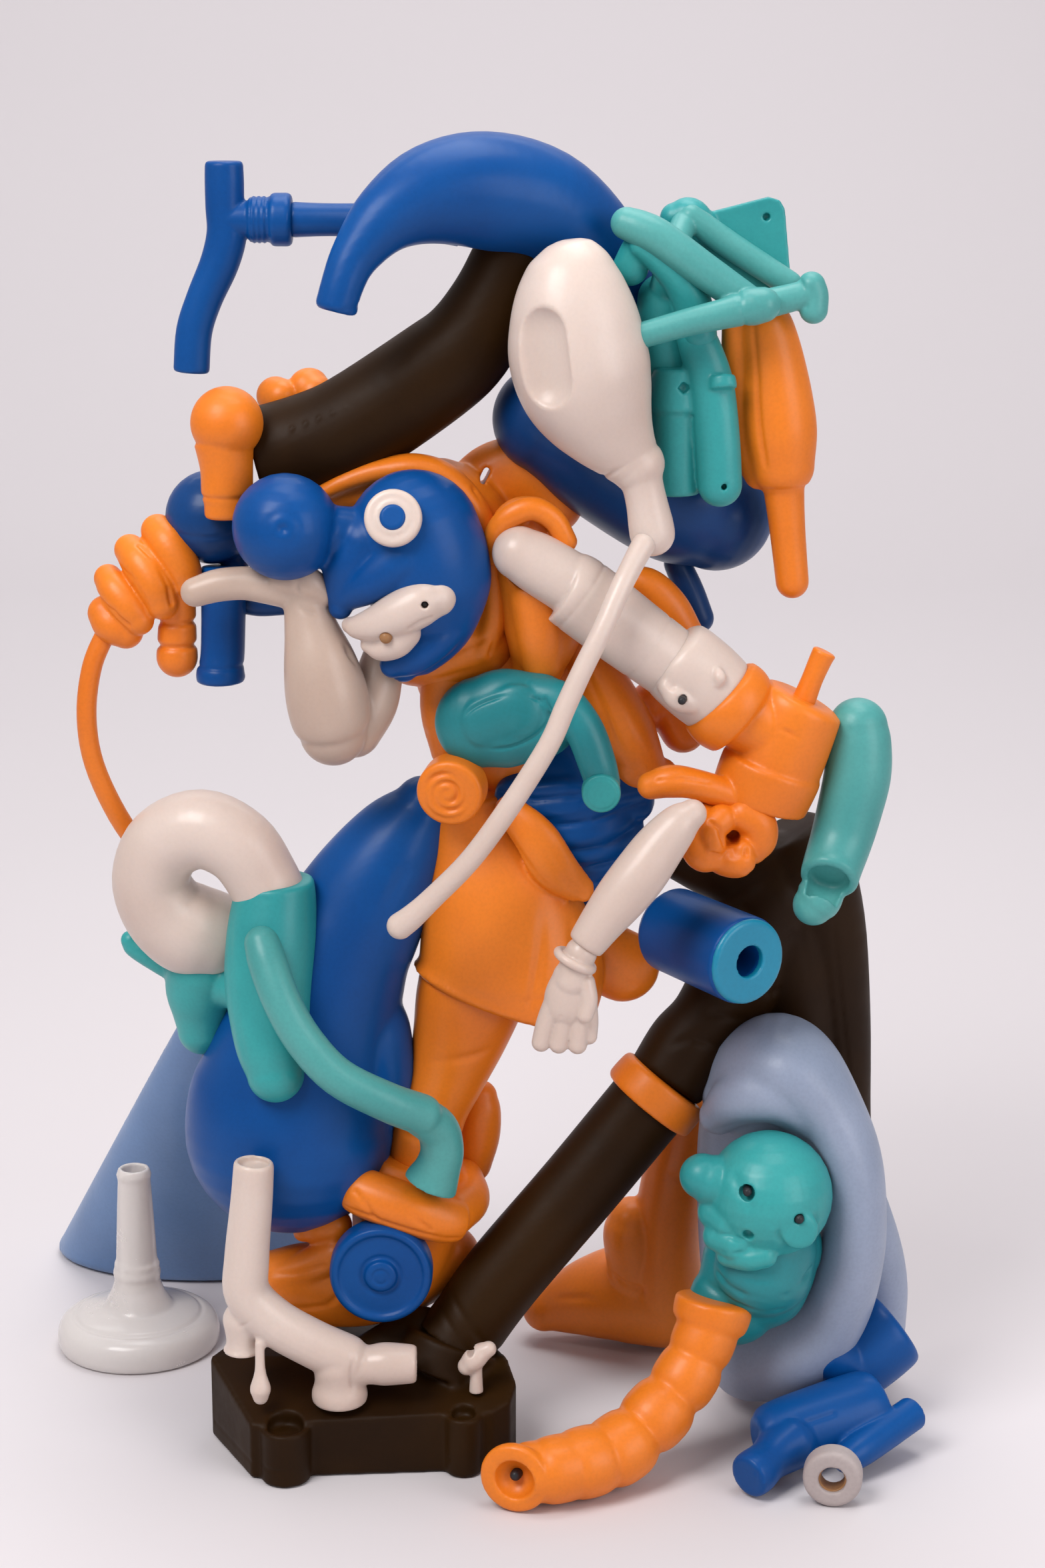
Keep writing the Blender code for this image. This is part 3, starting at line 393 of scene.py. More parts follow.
MATERIALS = {
    "blue": vinyl("blue", (0.002, 0.072, 0.280), (0.002, 0.054, 0.225), 0.36, grain=0.01, coat=0.03,
        specular=0.18),
    "navy": vinyl("navy", (0.004, 0.048, 0.185), (0.003, 0.035, 0.140), 0.34, grain=0.01, coat=0.05,
        specular=0.2),
    "orange": vinyl("orange", (0.800, 0.205, 0.010), (0.690, 0.160, 0.006), 0.42, waxy=0.05, coat=0.06),
    "teal": vinyl("teal", (0.030, 0.330, 0.330), (0.015, 0.250, 0.262), 0.42, waxy=0.05, coat=0.08),
    "teal_light": vinyl("teal_light", (0.080, 0.345, 0.330), (0.050, 0.275, 0.268), 0.42, waxy=0.05,
        coat=0.08),
    "teal_dark": vinyl("teal_dark", (0.010, 0.215, 0.240), (0.006, 0.160, 0.185), 0.42, coat=0.08),
    "cream": vinyl("cream", (0.650, 0.540, 0.480), (0.575, 0.455, 0.395), 0.36, waxy=0.25, coat=0.08,
        speckle=0.25),
    # a darker copy of cream, painted shade for the raised left forearm
    "cream_painted_shade": vinyl("cream_painted_shade", (0.540, 0.420, 0.345), (0.470, 0.350, 0.285), 0.36, waxy=0.25,
        coat=0.08, speckle=0.25),
    "brown": vinyl("brown", (0.026, 0.010, 0.001), (0.016, 0.006, 0.001), 0.50, grain=0.05, coat=0.0,
        specular=0.12),
    "pale_blue": vinyl("pale_blue", (0.130, 0.235, 0.440), (0.108, 0.200, 0.385), 0.36, waxy=0.1),
    "grey_blue": vinyl("grey_blue", (0.310, 0.360, 0.480), (0.235, 0.285, 0.390), 0.44, waxy=0.08,
        coat=0.06),
    "grey": vinyl("grey", (0.430, 0.370, 0.360), (0.370, 0.310, 0.300), 0.55, grain=0.06, coat=0.0),
    "cyan": vinyl("cyan", (0.005, 0.235, 0.380), (0.003, 0.190, 0.320), 0.36),
    "clear": vinyl("clear", (0.900, 0.850, 0.820), (0.880, 0.825, 0.795), 0.22, grain=0.01, coat=0.3,
        see_through=0.4, speckle=0.1),
    # tan is painted shade: the plug in the nostril and the sleeve in the grey ring's bore
    "tan": vinyl("tan", (0.330, 0.160, 0.060), (0.250, 0.115, 0.040), 0.6),
    # dark is painted shade: the plugs at the bottoms of small holes
    "dark": vinyl("dark", (0.012, 0.012, 0.016), (0.008, 0.008, 0.010), 0.6),
}


# ---- base and what stands on it -----------------------------------------------------------------

BASE_HEIGHT = 28.0  # millimetres
BASE_FOLD = -14.0  # the top falls away in front of this line
BASE_FALL = 0.28  # millimetres down for each millimetre forward


def slab(outline, low, high, upright=False):
    """A straight-sided block over an outline, flat on the floor or upright, as a mesh object."""
    count = len(outline)
    if upright:
        points = [(x, y, z) for y in (low, high) for x, z in outline[::-1]]
    else:
        points = [(x, y, z) for z in (low, high) for x, y in outline]
    points = [list(Vector(point) * MM + ORIGIN) for point in points]
    faces = [list(range(count))[::-1], list(range(count, 2 * count))]
    faces += [[i, (i + 1) % count, count + (i + 1) % count, count + i] for i in range(count)]
    mesh = bpy.data.meshes.new("slab")
    mesh.from_pydata(points, [], faces)
    return link(mesh, "slab")


def base_block():
    """The dark base: a block that slopes down in front, two dished lugs, and a collar round the strut."""
    outline = [
        (-93, -14), (-77, -46), (0, -40), (6, -35), (8, -26), (5, -14), (-3, 3), (-20, 14), (-62, 12),
        (-86, 0),
    ]
    lugs = [(-66, -45, 8.0, 18.0), (-9, -40, 6.0, 20.0)]
    shapes = [limb([(x, y, 0.2, r), (x, y, top, r)], "flat", "flat", steps=1, sides=48)
        for x, y, r, top in lugs]
    webs = [limb([(x, y + 7, 0.2, r), (x, y + 7, top, r)], "flat", "flat", steps=1) for x, y, r, top in lugs]
    collar = limb([(-17, -13, 22, 17.0), (-13, -10, 32, 16.0)], "flat", "soft", steps=1, sides=48)
    hump = limb([(-40, -6, 20, 12.0), (-24, -6, 29, 13.0)], depth=0.7)
    slope = slab([(-100, -14), (-100, -60), (20, -60), (20, -14)], BASE_HEIGHT, BASE_HEIGHT + 20)
    points = coordinates(slope.data)
    points[:, 2] -= np.maximum(0.0, BASE_FOLD * MM + ORIGIN[1] - points[:, 1]) * BASE_FALL
    set_coordinates(slope.data, points)
    block = cut(slab(outline, 0.2, BASE_HEIGHT), slope)
    whole = remeshed(joined([block, *shapes, *webs, collar, hump]), 0.8)
    dishes = [limb([(x, y, top - 2.2, r - 2.4), (x, y, 34, r - 2.0)], "flat", "flat", steps=1)
        for x, y, r, top in lugs]
    grooves = [(arc((x, y, top), r * 0.28, up=(0, 1, 0)), 0.6, -0.6) for x, y, r, top in lugs]
    grooves.append(([(-92, -17, 6), (-77, -47, 6), (-66, -54, 6), (0, -41, 6)], 0.7, 0.35))
    form("base_block", "brown", [carved(whole, dishes)], voxel=0.7, rounds=10, grooves=grooves)


def base_pin():
    """The small cream pin on the base, with a notched head."""
    stem = limb([(-5, -32, 24, 2.3), (-5, -32, 32, 2.0), (-5, -32, 34, 2.8)], "flat", "round")
    head = limb([(-8, -32, 33, 3.0), (-6, -32, 35, 3.7), (-3.5, -31, 37, 3.4), (-1, -31, 38.5, 2.6)])
    notch = limb([(-8, -38, 38.5, 1.4), (-6, -28, 38.5, 1.4)], steps=1)
    form("base_pin", "cream", [stem, head], holes=[notch], voxel=0.35, rounds=8)


def elbow_pipe():
    """The bent pipe in front of the big blue leg, with its end cuff, two feet and a small peg."""
    pipe = limb([(-75, -36, 105, 6.4), (-76, -36, 92, 6.7), (-78, -36, 72, 7.2), (-78, -36, 60, 7.5),
        (-70, -36, 50.5, 7.7), (-58, -36, 43, 7.7), (-47, -36, 37.5, 7.9)], "soft", "round", sides=40)
    cuff = limb([(-47, -36, 35, 7.5), (-40, -36, 35.3, 6.3), (-34, -36, 35.6, 6.9), (-24, -36, 35.6, 6.1)],
        "round", "soft", sides=40)
    foot = limb([(-49, -36, 35, 8.4), (-49, -36, 30, 8.0), (-49, -36, 26, 9.0), (-49, -36, 22.4, 8.8)],
        "round", "soft", sides=40)
    small_foot = limb([(-80, -34, 50, 6.4), (-80, -34, 43, 5.4), (-80, -34, 39, 6.6)], "round", "soft")
    peg = limb([(-74, -41, 46, 1.6), (-74, -41.5, 36, 1.8), (-74, -42, 30, 3.4), (-74, -42, 27, 2.6)],
        "flat", "round")
    mouth = limb([(-75, -36, 102.6, 4.9), (-75, -36, 108, 5.0)], "flat", "flat", steps=1)
    socket = limb([(-26, -36, 35.6, 4.4), (-20, -36, 35.6, 4.6)], "flat", "flat", steps=1)
    grooves = [
        (arc((-74.5, -36, 56), 8.6, across=(0.7, 0, 0.7), up=(0, 1, 0)), 0.6, 0.35),
        (arc((-44.5, -36, 35.4), 7.8, across=(0, 1, 0), up=(0, 0, 1)), 0.8, 0.5),
    ]
    form("elbow_pipe", "cream", [pipe, cuff, foot, small_foot, peg], holes=[mouth, socket], voxel=0.6,
        rounds=8, grooves=grooves)


def lower_tube():
    """The dark strut that climbs from the base to the right knee, wrinkled where it enters the base."""
    strut = limb([(-13, -10, 30, 13.8), (-8, -8, 37, 13.2), (4, -4, 53, 13.5), (28, 3, 80, 13.5),
        (52, 10, 108, 13.6)], "flat", "soft", sides=48)
    wrinkles = [(arc((x, y, z), 13.6, across=(0, 1, 0), up=(-0.6, 0, 0.8)), 1.0, 0.35)
        for x, y, z in ((-9, -8.4, 35), (-5.5, -7.4, 39.5))]
    form("lower_tube", "brown", [strut], voxel=0.9, rounds=8, grooves=wrinkles)


def tube_ring():
    """The orange ring round the strut's upper end."""
    ring = limb([(51, 10, 106.8, 15.4), (52, 10.2, 108, 16.6), (56.2, 11.1, 112.9, 16.4),
        (57.8, 11.5, 114.8, 15.4)], "soft", "soft", sides=56)
    hollow = limb([(47, 8.2, 102.4, 13.9), (52.6, 10.1, 108.8, 13.9)], "flat", "flat", steps=1, sides=56)
    form("tube_ring", "orange", [ring], holes=[hollow], voxel=0.6, rounds=8)


def trousers():
    """Two dark trouser legs that meet under the belt, wrinkled at the knee and down the outer edge."""
    front_leg = limb([(57, 12, 114, 13.4), (65, 16, 125, 14.2), (72, 18, 134, 13.2), (80, 21, 146, 15.2),
        (84, 22, 158, 15.6), (92, 24, 176, 17.0)], "soft", "round", sides=40)
    seat = limb([(98, 25, 176, 14.0), (100, 25, 150, 13.6), (103, 26, 126, 12.0)], sides=40)
    back_leg = limb([(95, 26, 196, 14.0), (101, 27, 184, 18.0), (109, 28, 164, 15.0), (115, 30, 130, 11.8),
        (118, 32, 96, 10.0), (121, 33, 76, 9.0)], "soft", "soft", sides=40)
    hip = limb([(58, 26, 190, 8.0), (74, 24, 186, 12.0), (92, 24, 182, 15.0)])
    folds = [
        ([(54, 2, 130), (66, 3, 133), (78, 6, 128)], 1.6, 1.0),
        ([(58, 5, 138), (68, 4, 141), (82, 8, 138)], 1.6, 1.0),
        ([(64, 10, 150), (74, 6, 150), (92, 12, 146)], 1.6, 0.8),
        ([(60, 14, 181), (80, 8, 176), (98, 10, 166)], 1.6, 0.8),
        ([(110, 12, 196), (112, 14, 164), (118, 20, 120), (122, 24, 84)], 0.8, 0.5),
        ([(104, 10, 190), (100, 12, 170), (104, 14, 150)], 1.4, 0.6),
    ]
    form("trousers", "brown", [front_leg, seat, back_leg, hip], voxel=1.0, rounds=10, grooves=folds)


def boot():
    """The front boot: a long shoe, a folded cuff that wraps the ankle in front, and a side lobe."""
    shoe = limb([(-75, -1, 50, 9.4), (-66, -2, 49.6, 12.6), (-54, -1, 48.6, 14.6), (-42, 2, 49, 15.8),
        (-30, 7, 51, 16.0), (-16, 12, 52, 12.0)], depth=0.92, sides=44)
    ankle = limb([(-30, 8, 56, 17.0), (-29, 8, 70, 17.8), (-29, 8, 82, 18.6), (-27, 8, 90, 16.0)], "round",
        "soft", sides=48)
    cuff = limb([(-45.6, -10, 86, 7.4), (-40, -13, 84.6, 8.0), (-28, -15.4, 81, 8.2),
        (-17, -13.4, 76.6, 8.0), (-11, -9.6, 74.6, 7.2)], "soft", "soft", sides=44)
    back_cuff = limb([(-12, -8, 76, 7.0), (-8, 2, 77, 7.2), (-10, 12, 80, 7.0)], sides=36)
    lobe = limb([(-62, -5, 68.6, 3.6), (-58, -5, 69.4, 5.2), (-52, -5, 70.4, 6.0)])
    toe = limb([(-70, -6, 52, 6.4), (-60, -7, 56, 7.0), (-52, -7, 61, 6.6)])
    folds = [
        ([(-49, -18, 82), (-40, -21, 80), (-28, -23, 76.4), (-16, -21, 72), (-8, -16, 70)], 0.9, 0.8),
        ([(-30, -24, 86), (-24, -24, 80), (-20, -22, 76)], 0.9, 0.7),
        ([(-44, -19, 88), (-40, -21, 84), (-38, -21, 80)], 0.8, 0.6),
        ([(-66, -14, 44), (-54, -15, 46), (-46, -14, 54)], 1.2, 0.7),
        ([(-74, -9, 55), (-64, -13, 57), (-55, -14, 60)], 1.0, 0.6),
    ]
    form("boot", "orange", [shoe, ankle, cuff, back_cuff, lobe, toe], voxel=0.75, rounds=9, grooves=folds)


def wheel_disc():
    """The blue disc on the boot, with a rolled rim, a sunk face and a raised boss."""
    rim = disc((-36, -17, 60), (0, 1, 0), 16.8, 9.0, sides=96)
    bead = limb([(*point, 1.5) for point in arc((-36, -21.2, 60), 15.0, 0, 357, count=60)], "flat", "flat",
        steps=1, sides=14)
    boss = limb([(-36, -19, 60, 5.4), (-36, -22.6, 60, 5.2), (-36, -23.4, 60, 4.0)], "flat", "soft", sides=48)
    form("wheel_disc", "blue", [rim, bead, boss], voxel=0.55, rounds=8,
        grooves=[(arc((-36, -21.8, 60), 6.2, count=48), 0.8, 0.7), (arc((-36, -23.6, 60), 2.4), 0.5, 0.4)])


def leg():
    """The orange thigh that tapers quickly into the boot, with the heel lobe behind."""
    calf = limb([(-6, 8, 150, 18.0), (-8, 8, 142, 17.4), (-11, 8, 131, 15.4), (-15, 8, 119, 13.2),
        (-20, 8, 106, 11.8), (-24, 8, 88, 11.0)], "soft", "soft", sides=48)
    heel = limb([(-4, 21, 106, 5.6), (-4, 21, 101, 6.8), (-5, 22, 92, 7.4), (-7, 22, 82, 6.6)], sides=40)
    folds = [
        ([(-3, -4, 118), (0, 2, 114), (2, 10, 110)], 1.2, 0.7),
        ([(-30, 0, 102), (-22, -4, 99), (-12, -3, 98)], 1.2, 0.6),
        ([(-26, -4, 126), (-14, -8, 128), (4, -6, 132)], 1.6, 0.5),
    ]
    form("leg", "orange", [calf, heel], voxel=0.85, rounds=12, grooves=folds)


def skirt():
    """A glossy flared skirt with a hem, pleats, a folded lapel at its top and a flap behind on the right."""
    bell = limb([(-4, 8, 214, 14.0), (-2, 8, 198, 19.0), (2, 6, 180, 25.0), (5, 6, 164, 29.0),
        (6, 6, 154, 30.6), (4, 6, 147, 30.0)], "soft", "soft", sides=64, depth=0.72)
    hem = limb([(4, 6, 148.5, 30.8), (3, 6, 145.6, 29.6)], "soft", "soft", steps=1, sides=64, depth=0.72)
    flap = limb([(22, 16, 166, 9.0), (30, 16, 160, 12.0), (43, 17, 153, 12.2)], depth=0.6)
    lapel = limb([(6, -6, 212, 5.0), (14, -9, 204, 7.0), (20, -9, 194, 7.4), (28, -6, 186, 5.0)], depth=0.55)
    folds = [
        ([(-12, -7, 206), (-20, -11, 186), (-24, -13, 165), (-24, -13, 150)], 1.5, 0.8),
        ([(-2, -9, 206), (-6, -13, 186), (-10, -16, 168), (-12, -17, 152)], 1.6, 0.7),
        ([(9, -14, 188), (4, -16, 174), (-1, -17, 160)], 1.5, -1.0),
        ([(18, -12, 184), (16, -14, 168), (13, -16, 150)], 1.8, 0.9),
        ([(28, -6, 186), (27, -8, 170), (25, -10, 156)], 1.8, 0.9),
        ([(-24, -10, 156), (-8, -17, 152.5), (8, -17, 151), (20, -13, 152), (30, -6, 154)], 0.7, 0.55),
        ([(8, -12, 211), (15, -15, 203), (22, -14, 193), (30, -9, 184)], 1.0, 0.9),
        ([(-2, -8, 214), (4, -10, 206), (14, -13, 192), (24, -12, 182)], 1.0, 0.8),
        ([(34, 8, 165), (40, 8, 156), (46, 10, 148)], 1.2, 0.6),
    ]
    form("skirt", "orange", [bell, hem, flap, lapel], voxel=0.9, rounds=10, grooves=folds)


def balloon_leg():
    """The big glossy leg on the left: a tube from the hip that swells into a bulb, creased at the knee."""
    swell = limb([(-22, 8, 210, 9.6), (-28, 8, 201, 15.0), (-36, 8, 187.6, 19.4), (-44, 8, 173, 22.4),
        (-50, 7, 161, 23.8), (-57, 7, 141, 27.4), (-61.4, 7, 127, 30.4), (-64.4, 7, 115, 33.0),
        (-66.4, 7, 107, 34.2), (-67, 7, 100, 34.5)], sides=72)
    knee = limb([(-43, 4, 147, 10.6), (-41, 4, 138, 13.6), (-40.6, 4, 130, 14.8), (-41, 5, 118, 15.2),
        (-44, 6, 107, 13.0)])
    folds = [
        ([(-26, -8, 160), (-31, -14, 159), (-36, -18, 154), (-38, -19, 147)], 1.4, 1.3),
        ([(-92, -13, 135), (-90, -16, 131), (-91, -18, 127)], 0.8, 0.7),
        ([(-38, -17, 168), (-34, -15, 180), (-28, -8, 192)], 2.4, 0.5),
    ]
    form("balloon_leg", "blue", [swell, knee], voxel=1.1, rounds=16, grooves=folds)


def ring_hook():
    """The fat cream hook that curls round at the left, seated on the sleeve."""
    curl = limb([(-70, -9, 183, 11.8), (-73, -9, 190.6, 11.6), (-80, -9, 201, 12.2), (-92, -7, 206, 12.7),
        (-104, -4, 200.5, 12.7), (-109, -2, 189, 12.6), (-106, 0, 178, 13.6), (-99, 2, 171, 15.0),
        (-92, 4, 168, 14.6)], "soft", "round", sides=56)
    form("ring_hook", "cream", [curl], voxel=0.75, rounds=10)


def hook_sleeve():
    """The teal sleeve under the hook, which comes forward over the leg, and the drop that hangs behind it."""
    sleeve = limb([(-69, -9, 190, 12.4), (-69, -9, 184, 13.2), (-70, -11, 172, 14.4), (-71, -14, 158, 14.2),
        (-70.6, -18, 147, 12.9), (-69.6, -21.6, 137, 11.4), (-68.6, -24, 130, 9.2)], "soft", "round",
        sides=56)
    drop = limb([(-94, 6, 155, 12.6), (-95, 7, 148, 11.6), (-95, 8, 141, 10.0), (-95, 8, 134, 8.2)])
    bridge = limb([(-92, 6, 152, 8.0), (-78, -4, 152, 8.0)], steps=1)
    knob = limb([(-118, 10, 164, 3.2), (-115, 10, 161, 4.0), (-98, 8, 152, 5.0)])
    fold = [
        ([(-84, -18, 178), (-84, -24, 162), (-82, -28, 150), (-79, -31, 138)], 1.5, 1.0),
        ([(-84, -12, 186), (-76, -20, 189), (-64, -21, 192), (-57, -12, 195)], 0.8, 0.5),
    ]
    form("hook_sleeve", "teal", [sleeve, drop, bridge, knob], voxel=0.75, rounds=12, grooves=fold)


def drain_pipe():
    """The long thin teal pipe that runs down over the leg to a flared mouth on the boot."""
    pipe = limb([(-72, -25, 173.6, 5.6), (-70, -28, 168, 6.2), (-65.4, -33, 157, 6.1),
        (-58.6, -36, 145.4, 6.1), (-48, -38, 134, 6.1), (-33, -36, 125, 6.3), (-22, -30, 118.4, 6.6)],
        sides=44)
    drop = limb([(-24, -31, 119.4, 6.2), (-17.4, -25, 112, 6.8), (-15.8, -23, 104, 7.0),
        (-17.2, -22, 97.6, 7.4), (-19.4, -21, 92, 8.8), (-20, -21, 90.6, 8.6)], "round", "soft", sides=44)
    mouth = limb([(-21.6, -21.4, 86, 6.6), (-19.6, -21, 92.6, 5.6)], "flat", "round", steps=1, sides=40)
    fold = [([(-27, -36, 116), (-24, -33, 111), (-22.4, -30, 106)], 1.0, 0.9)]
    form("drain_pipe", "teal_light", [pipe, drop], holes=[mouth], voxel=0.55, rounds=8, grooves=fold)


def spindle_disc():
    """The flared stand on the floor, of clear plastic, with a hollow ribbed spindle."""
    plate = limb([(-126, 59, 0.3, 27.6), (-126, 59, 3, 28.4), (-126, 59, 7, 28.2), (-126, 59, 10.4, 26.0),
        (-126, 59, 13, 20.0), (-126, 59, 14.4, 14.0)], "flat", "flat", sides=96)
    skirted = limb([(-126, 59, 12, 14.0), (-126, 59, 17, 11.0), (-126, 59, 21, 9.0), (-126, 59, 26, 7.6)],
        "flat", "flat", sides=64)
    spindle = limb([(-126, 59, 24, 7.6), (-126, 59, 45, 6.6), (-126, 59, 66, 5.5)], "flat", "flat", sides=64)
    ribs = [disc((-126, 59, z), (0, 0, 1), r, 1.4) for z, r in ((27, 8.4), (30, 8.0), (63.5, 6.2))]
    bore = limb([(-126, 59, 20, 4.6), (-126, 59, 68, 4.1)], "flat", "flat", steps=1, sides=48)
    form("spindle_disc", "clear", [plate, skirted, spindle, *ribs], holes=[bore], voxel=0.7, rounds=8,
        grooves=[(arc((-126, 59, 12.2), 22.5, up=(0, 1, 0), count=60), 0.9, 0.6)])


def support_cone():
    """The pale cone that props the big bulb from behind, leaning back to a wide oval foot."""
    cone = limb([(-110, 146, 0.3, 55.5), (-110, 146, 3, 57.2), (-110, 146, 8, 55.4), (-110, 146, 70, 34.0),
        (-110, 146, 110, 20.0), (-110, 146, 140, 9.0)], "flat", "round", sides=96, depth=0.6,
        lean=(0.15, -0.74))
    form("support_cone", "pale_blue", [cone], voxel=1.4, rounds=14)


# ---- body -----------------------------------------------------------------------------------------


def torso():
    """The orange jacket: chest, waist, and the two straps on the right, with a placket seam and folds."""
    chest = limb([(-9, 18, 270, 18.0), (-4, 16, 254, 21.0), (4, 15, 238, 20.6), (9, 13, 226, 17.6),
        (12, 12, 218, 13.0)], depth=0.8, sides=56)
    front = limb([(-12, 2, 262, 9.0), (-14, 2, 244, 8.6), (-12, 2, 230, 7.4)], depth=0.8)
    right_strap = limb([(28, 8, 262, 7.4), (35, 8, 250, 8.8), (43, 8, 234, 9.6), (50, 8, 220, 7.0)], sides=40)
    back_strap = limb([(42, 16, 230, 8.0), (48, 18, 238, 7.0), (56, 20, 242, 8.0), (62, 20, 232, 7.4)],
        sides=40)
    bridge = limb([(10, 14, 256, 12.0), (36, 10, 244, 9.0)], steps=1)
    hip = limb([(46, 8, 222, 7.6), (54, 10, 219, 6.4)])
    folds = [
        ([(-18, -4, 258), (-8, -5, 254), (6, -4, 256)], 1.2, 0.8),
        ([(-20, 0, 236), (-12, -4, 238), (-4, -4, 240)], 1.0, 0.7),
        ([(30, 0, 256), (35, -1, 244), (40, -2, 230)], 1.1, 0.9),
        ([(52, 8, 246), (50, 9, 236), (54, 10, 226)], 1.1, 0.9),
        ([(18, 0, 264), (22, -2, 250), (30, -2, 236)], 1.3, 0.8),
    ]
    form("torso", "orange", [chest, front, right_strap, back_strap, bridge, hip], voxel=0.9, rounds=12,
        grooves=folds)


def waist_sash():
    """The blue cloth wrapped round the waist, in slanted folds."""
    wrap = limb([(10, 12, 228, 13.0), (20, 12, 217, 20.0), (28, 12, 204, 22.0), (33, 12, 193, 17.0),
        (35, 12, 185, 11.0)], depth=0.8, sides=64)
    belt = limb([(10, 3, 214, 9.0), (26, 2, 214, 10.0), (44, 8, 212, 8.6)], depth=0.8)
    lines = [
        [(-2, 0, 217), (14, -5, 215), (30, -6, 217), (48, 2, 221)],
        [(0, -2, 209), (16, -6, 206), (32, -6, 208), (50, 2, 213)],
        [(8, -4, 199), (20, -6, 197), (36, -4, 199), (50, 4, 205)],
        [(14, -3, 190), (26, -4, 190), (38, 0, 193), (48, 8, 198)],
        [(22, -1, 183), (32, 0, 184), (42, 6, 188)],
    ]
    grooves = [(line, 1.1, 1.2) for line in lines]
    grooves += [([(x, y, z + 4) for x, y, z in line], 2.2, -0.8) for line in lines[:4]]
    form("waist_sash", "blue", [wrap, belt], voxel=0.8, rounds=10, grooves=grooves)


def spiral_knob():
    """The orange roll on the hip, with a spiral sunk into its face."""
    knob = disc((-12, -14, 221), (0.2, 1, 0.1), 10.6, 11.0, sides=72)
    shell = limb([(-13, -17, 220.6, 9.8), (-13.4, -19.6, 220.5, 8.0)], "round", "soft", steps=1, sides=56)
    turns = []
    for i in range(60):
        angle = math.radians(100 + i * 14)
        reach = 1.0 + 6.6 * i / 59
        turns.append((-13.4 + reach * math.cos(angle), -20.4 + 0.02 * i, 220.5 + reach * math.sin(angle)))
    form("spiral_knob", "orange", [knob, shell], voxel=0.5, rounds=10, grooves=[(turns, 0.75, 1.0)])


def pouch():
    """The oval teal hip bag, with an inset oval front panel and the strap that drops to the dial."""
    bag = limb([(-3, -10, 241.5, 14.6), (5, -11, 243, 15.8), (14, -11, 243.5, 14.0)], depth=0.6, sides=72)
    panel = limb([(-1, -17, 243, 8.6), (8, -17.6, 246, 9.4)], depth=0.4, sides=56)
    strap = limb([(14, -13, 251, 6.0), (22, -15, 249, 6.4), (29, -17, 241, 6.2), (33, -18, 231, 6.0),
        (35, -18, 224, 5.6)], sides=40)
    oval = [(4 + 14.4 * math.cos(a) + 0.5 * math.sin(a), -19.4,
        243.4 + 8.4 * math.sin(a) + 2.2 * math.cos(a)) for a in [math.radians(10 * i) for i in range(37)]]
    slot = [(-6, -21, 238), (4, -22, 239), (14, -21, 242)]
    form("pouch", "teal_dark", [bag, panel, strap], voxel=0.6, rounds=10,
        grooves=[(oval, 0.55, 0.9), (slot, 0.5, 0.7), ([(18, -20, 236), (20, -21, 244), (17, -20, 251)],
        0.6, 0.8)])


def pouch_dial():
    """The domed teal button at the strap's end."""
    dial = disc((34.5, -22, 222), (0, 1, 0), 6.1, 7.0, sides=64)
    dome = limb([(34.5, -23.5, 222, 4.9), (34.5, -25.2, 222, 3.6)], "round", "soft", sides=48)
    form("pouch_dial", "teal", [dial, dome], voxel=0.4, rounds=8,
        grooves=[(arc((34.5, -25.2, 222), 5.0), 0.5, 0.35)])


def hood():
    """The jacket collar that rises behind the mask, with the holed tab behind the shoulder."""
    back = limb([(-34, 18, 303, 10.0), (-26, 18, 304, 15.6), (-16, 16, 301, 20.0), (-10, 14, 287, 21.0),
        (-8, 12, 270, 17.0)], depth=0.9, sides=64)
    collar = limb([(-24, 5, 261, 11.0), (-14, 6, 261, 13.6), (-5, 8, 263, 13.0)], sides=48)
    roll = limb([(-52, 0, 312.6, 2.8), (-47, 0, 315.2, 3.4), (-41, 0, 317.6, 3.8), (-34, 0, 319.4, 4.0),
        (-23, 0, 320.6, 4.2), (-13, 0, 317, 4.2), (-4, 0, 306, 4.2), (0, 0, 290, 4.2), (1, 0, 274, 4.4),
        (-3, 0, 262, 4.4)], depth=1.4)
    lapel = limb([(-49, 3, 310.6, 4.2), (-41, 5, 312, 6.4), (-32, 8, 312, 9.0)])
    tab = limb([(-9, 24, 305, 9.4), (-2, 24, 311, 11.6), (5, 24, 314, 12.4), (12, 24, 313, 12.2),
        (19, 24, 306, 10.6)], depth=0.7, sides=56)
    tab_hole = limb([(-3.4, 24, 312.6, 1.2), (-1.2, 24, 317, 1.2)], steps=1, depth=14.0)
    folds = [
        ([(-22, -6, 252), (-10, -7, 256), (2, -5, 258)], 1.2, 1.0),
        ([(-5, -3, 314), (0, -4, 298), (2, -4, 280), (0, -5, 262)], 0.9, 0.8),
        ([(-26, -4, 266), (-12, -7, 263), (0, -5, 268)], 1.0, 0.6),
    ]
    form("hood", "orange", [back, collar, roll, lapel, tab], holes=[tab_hole], voxel=0.8, rounds=8,
        grooves=folds)


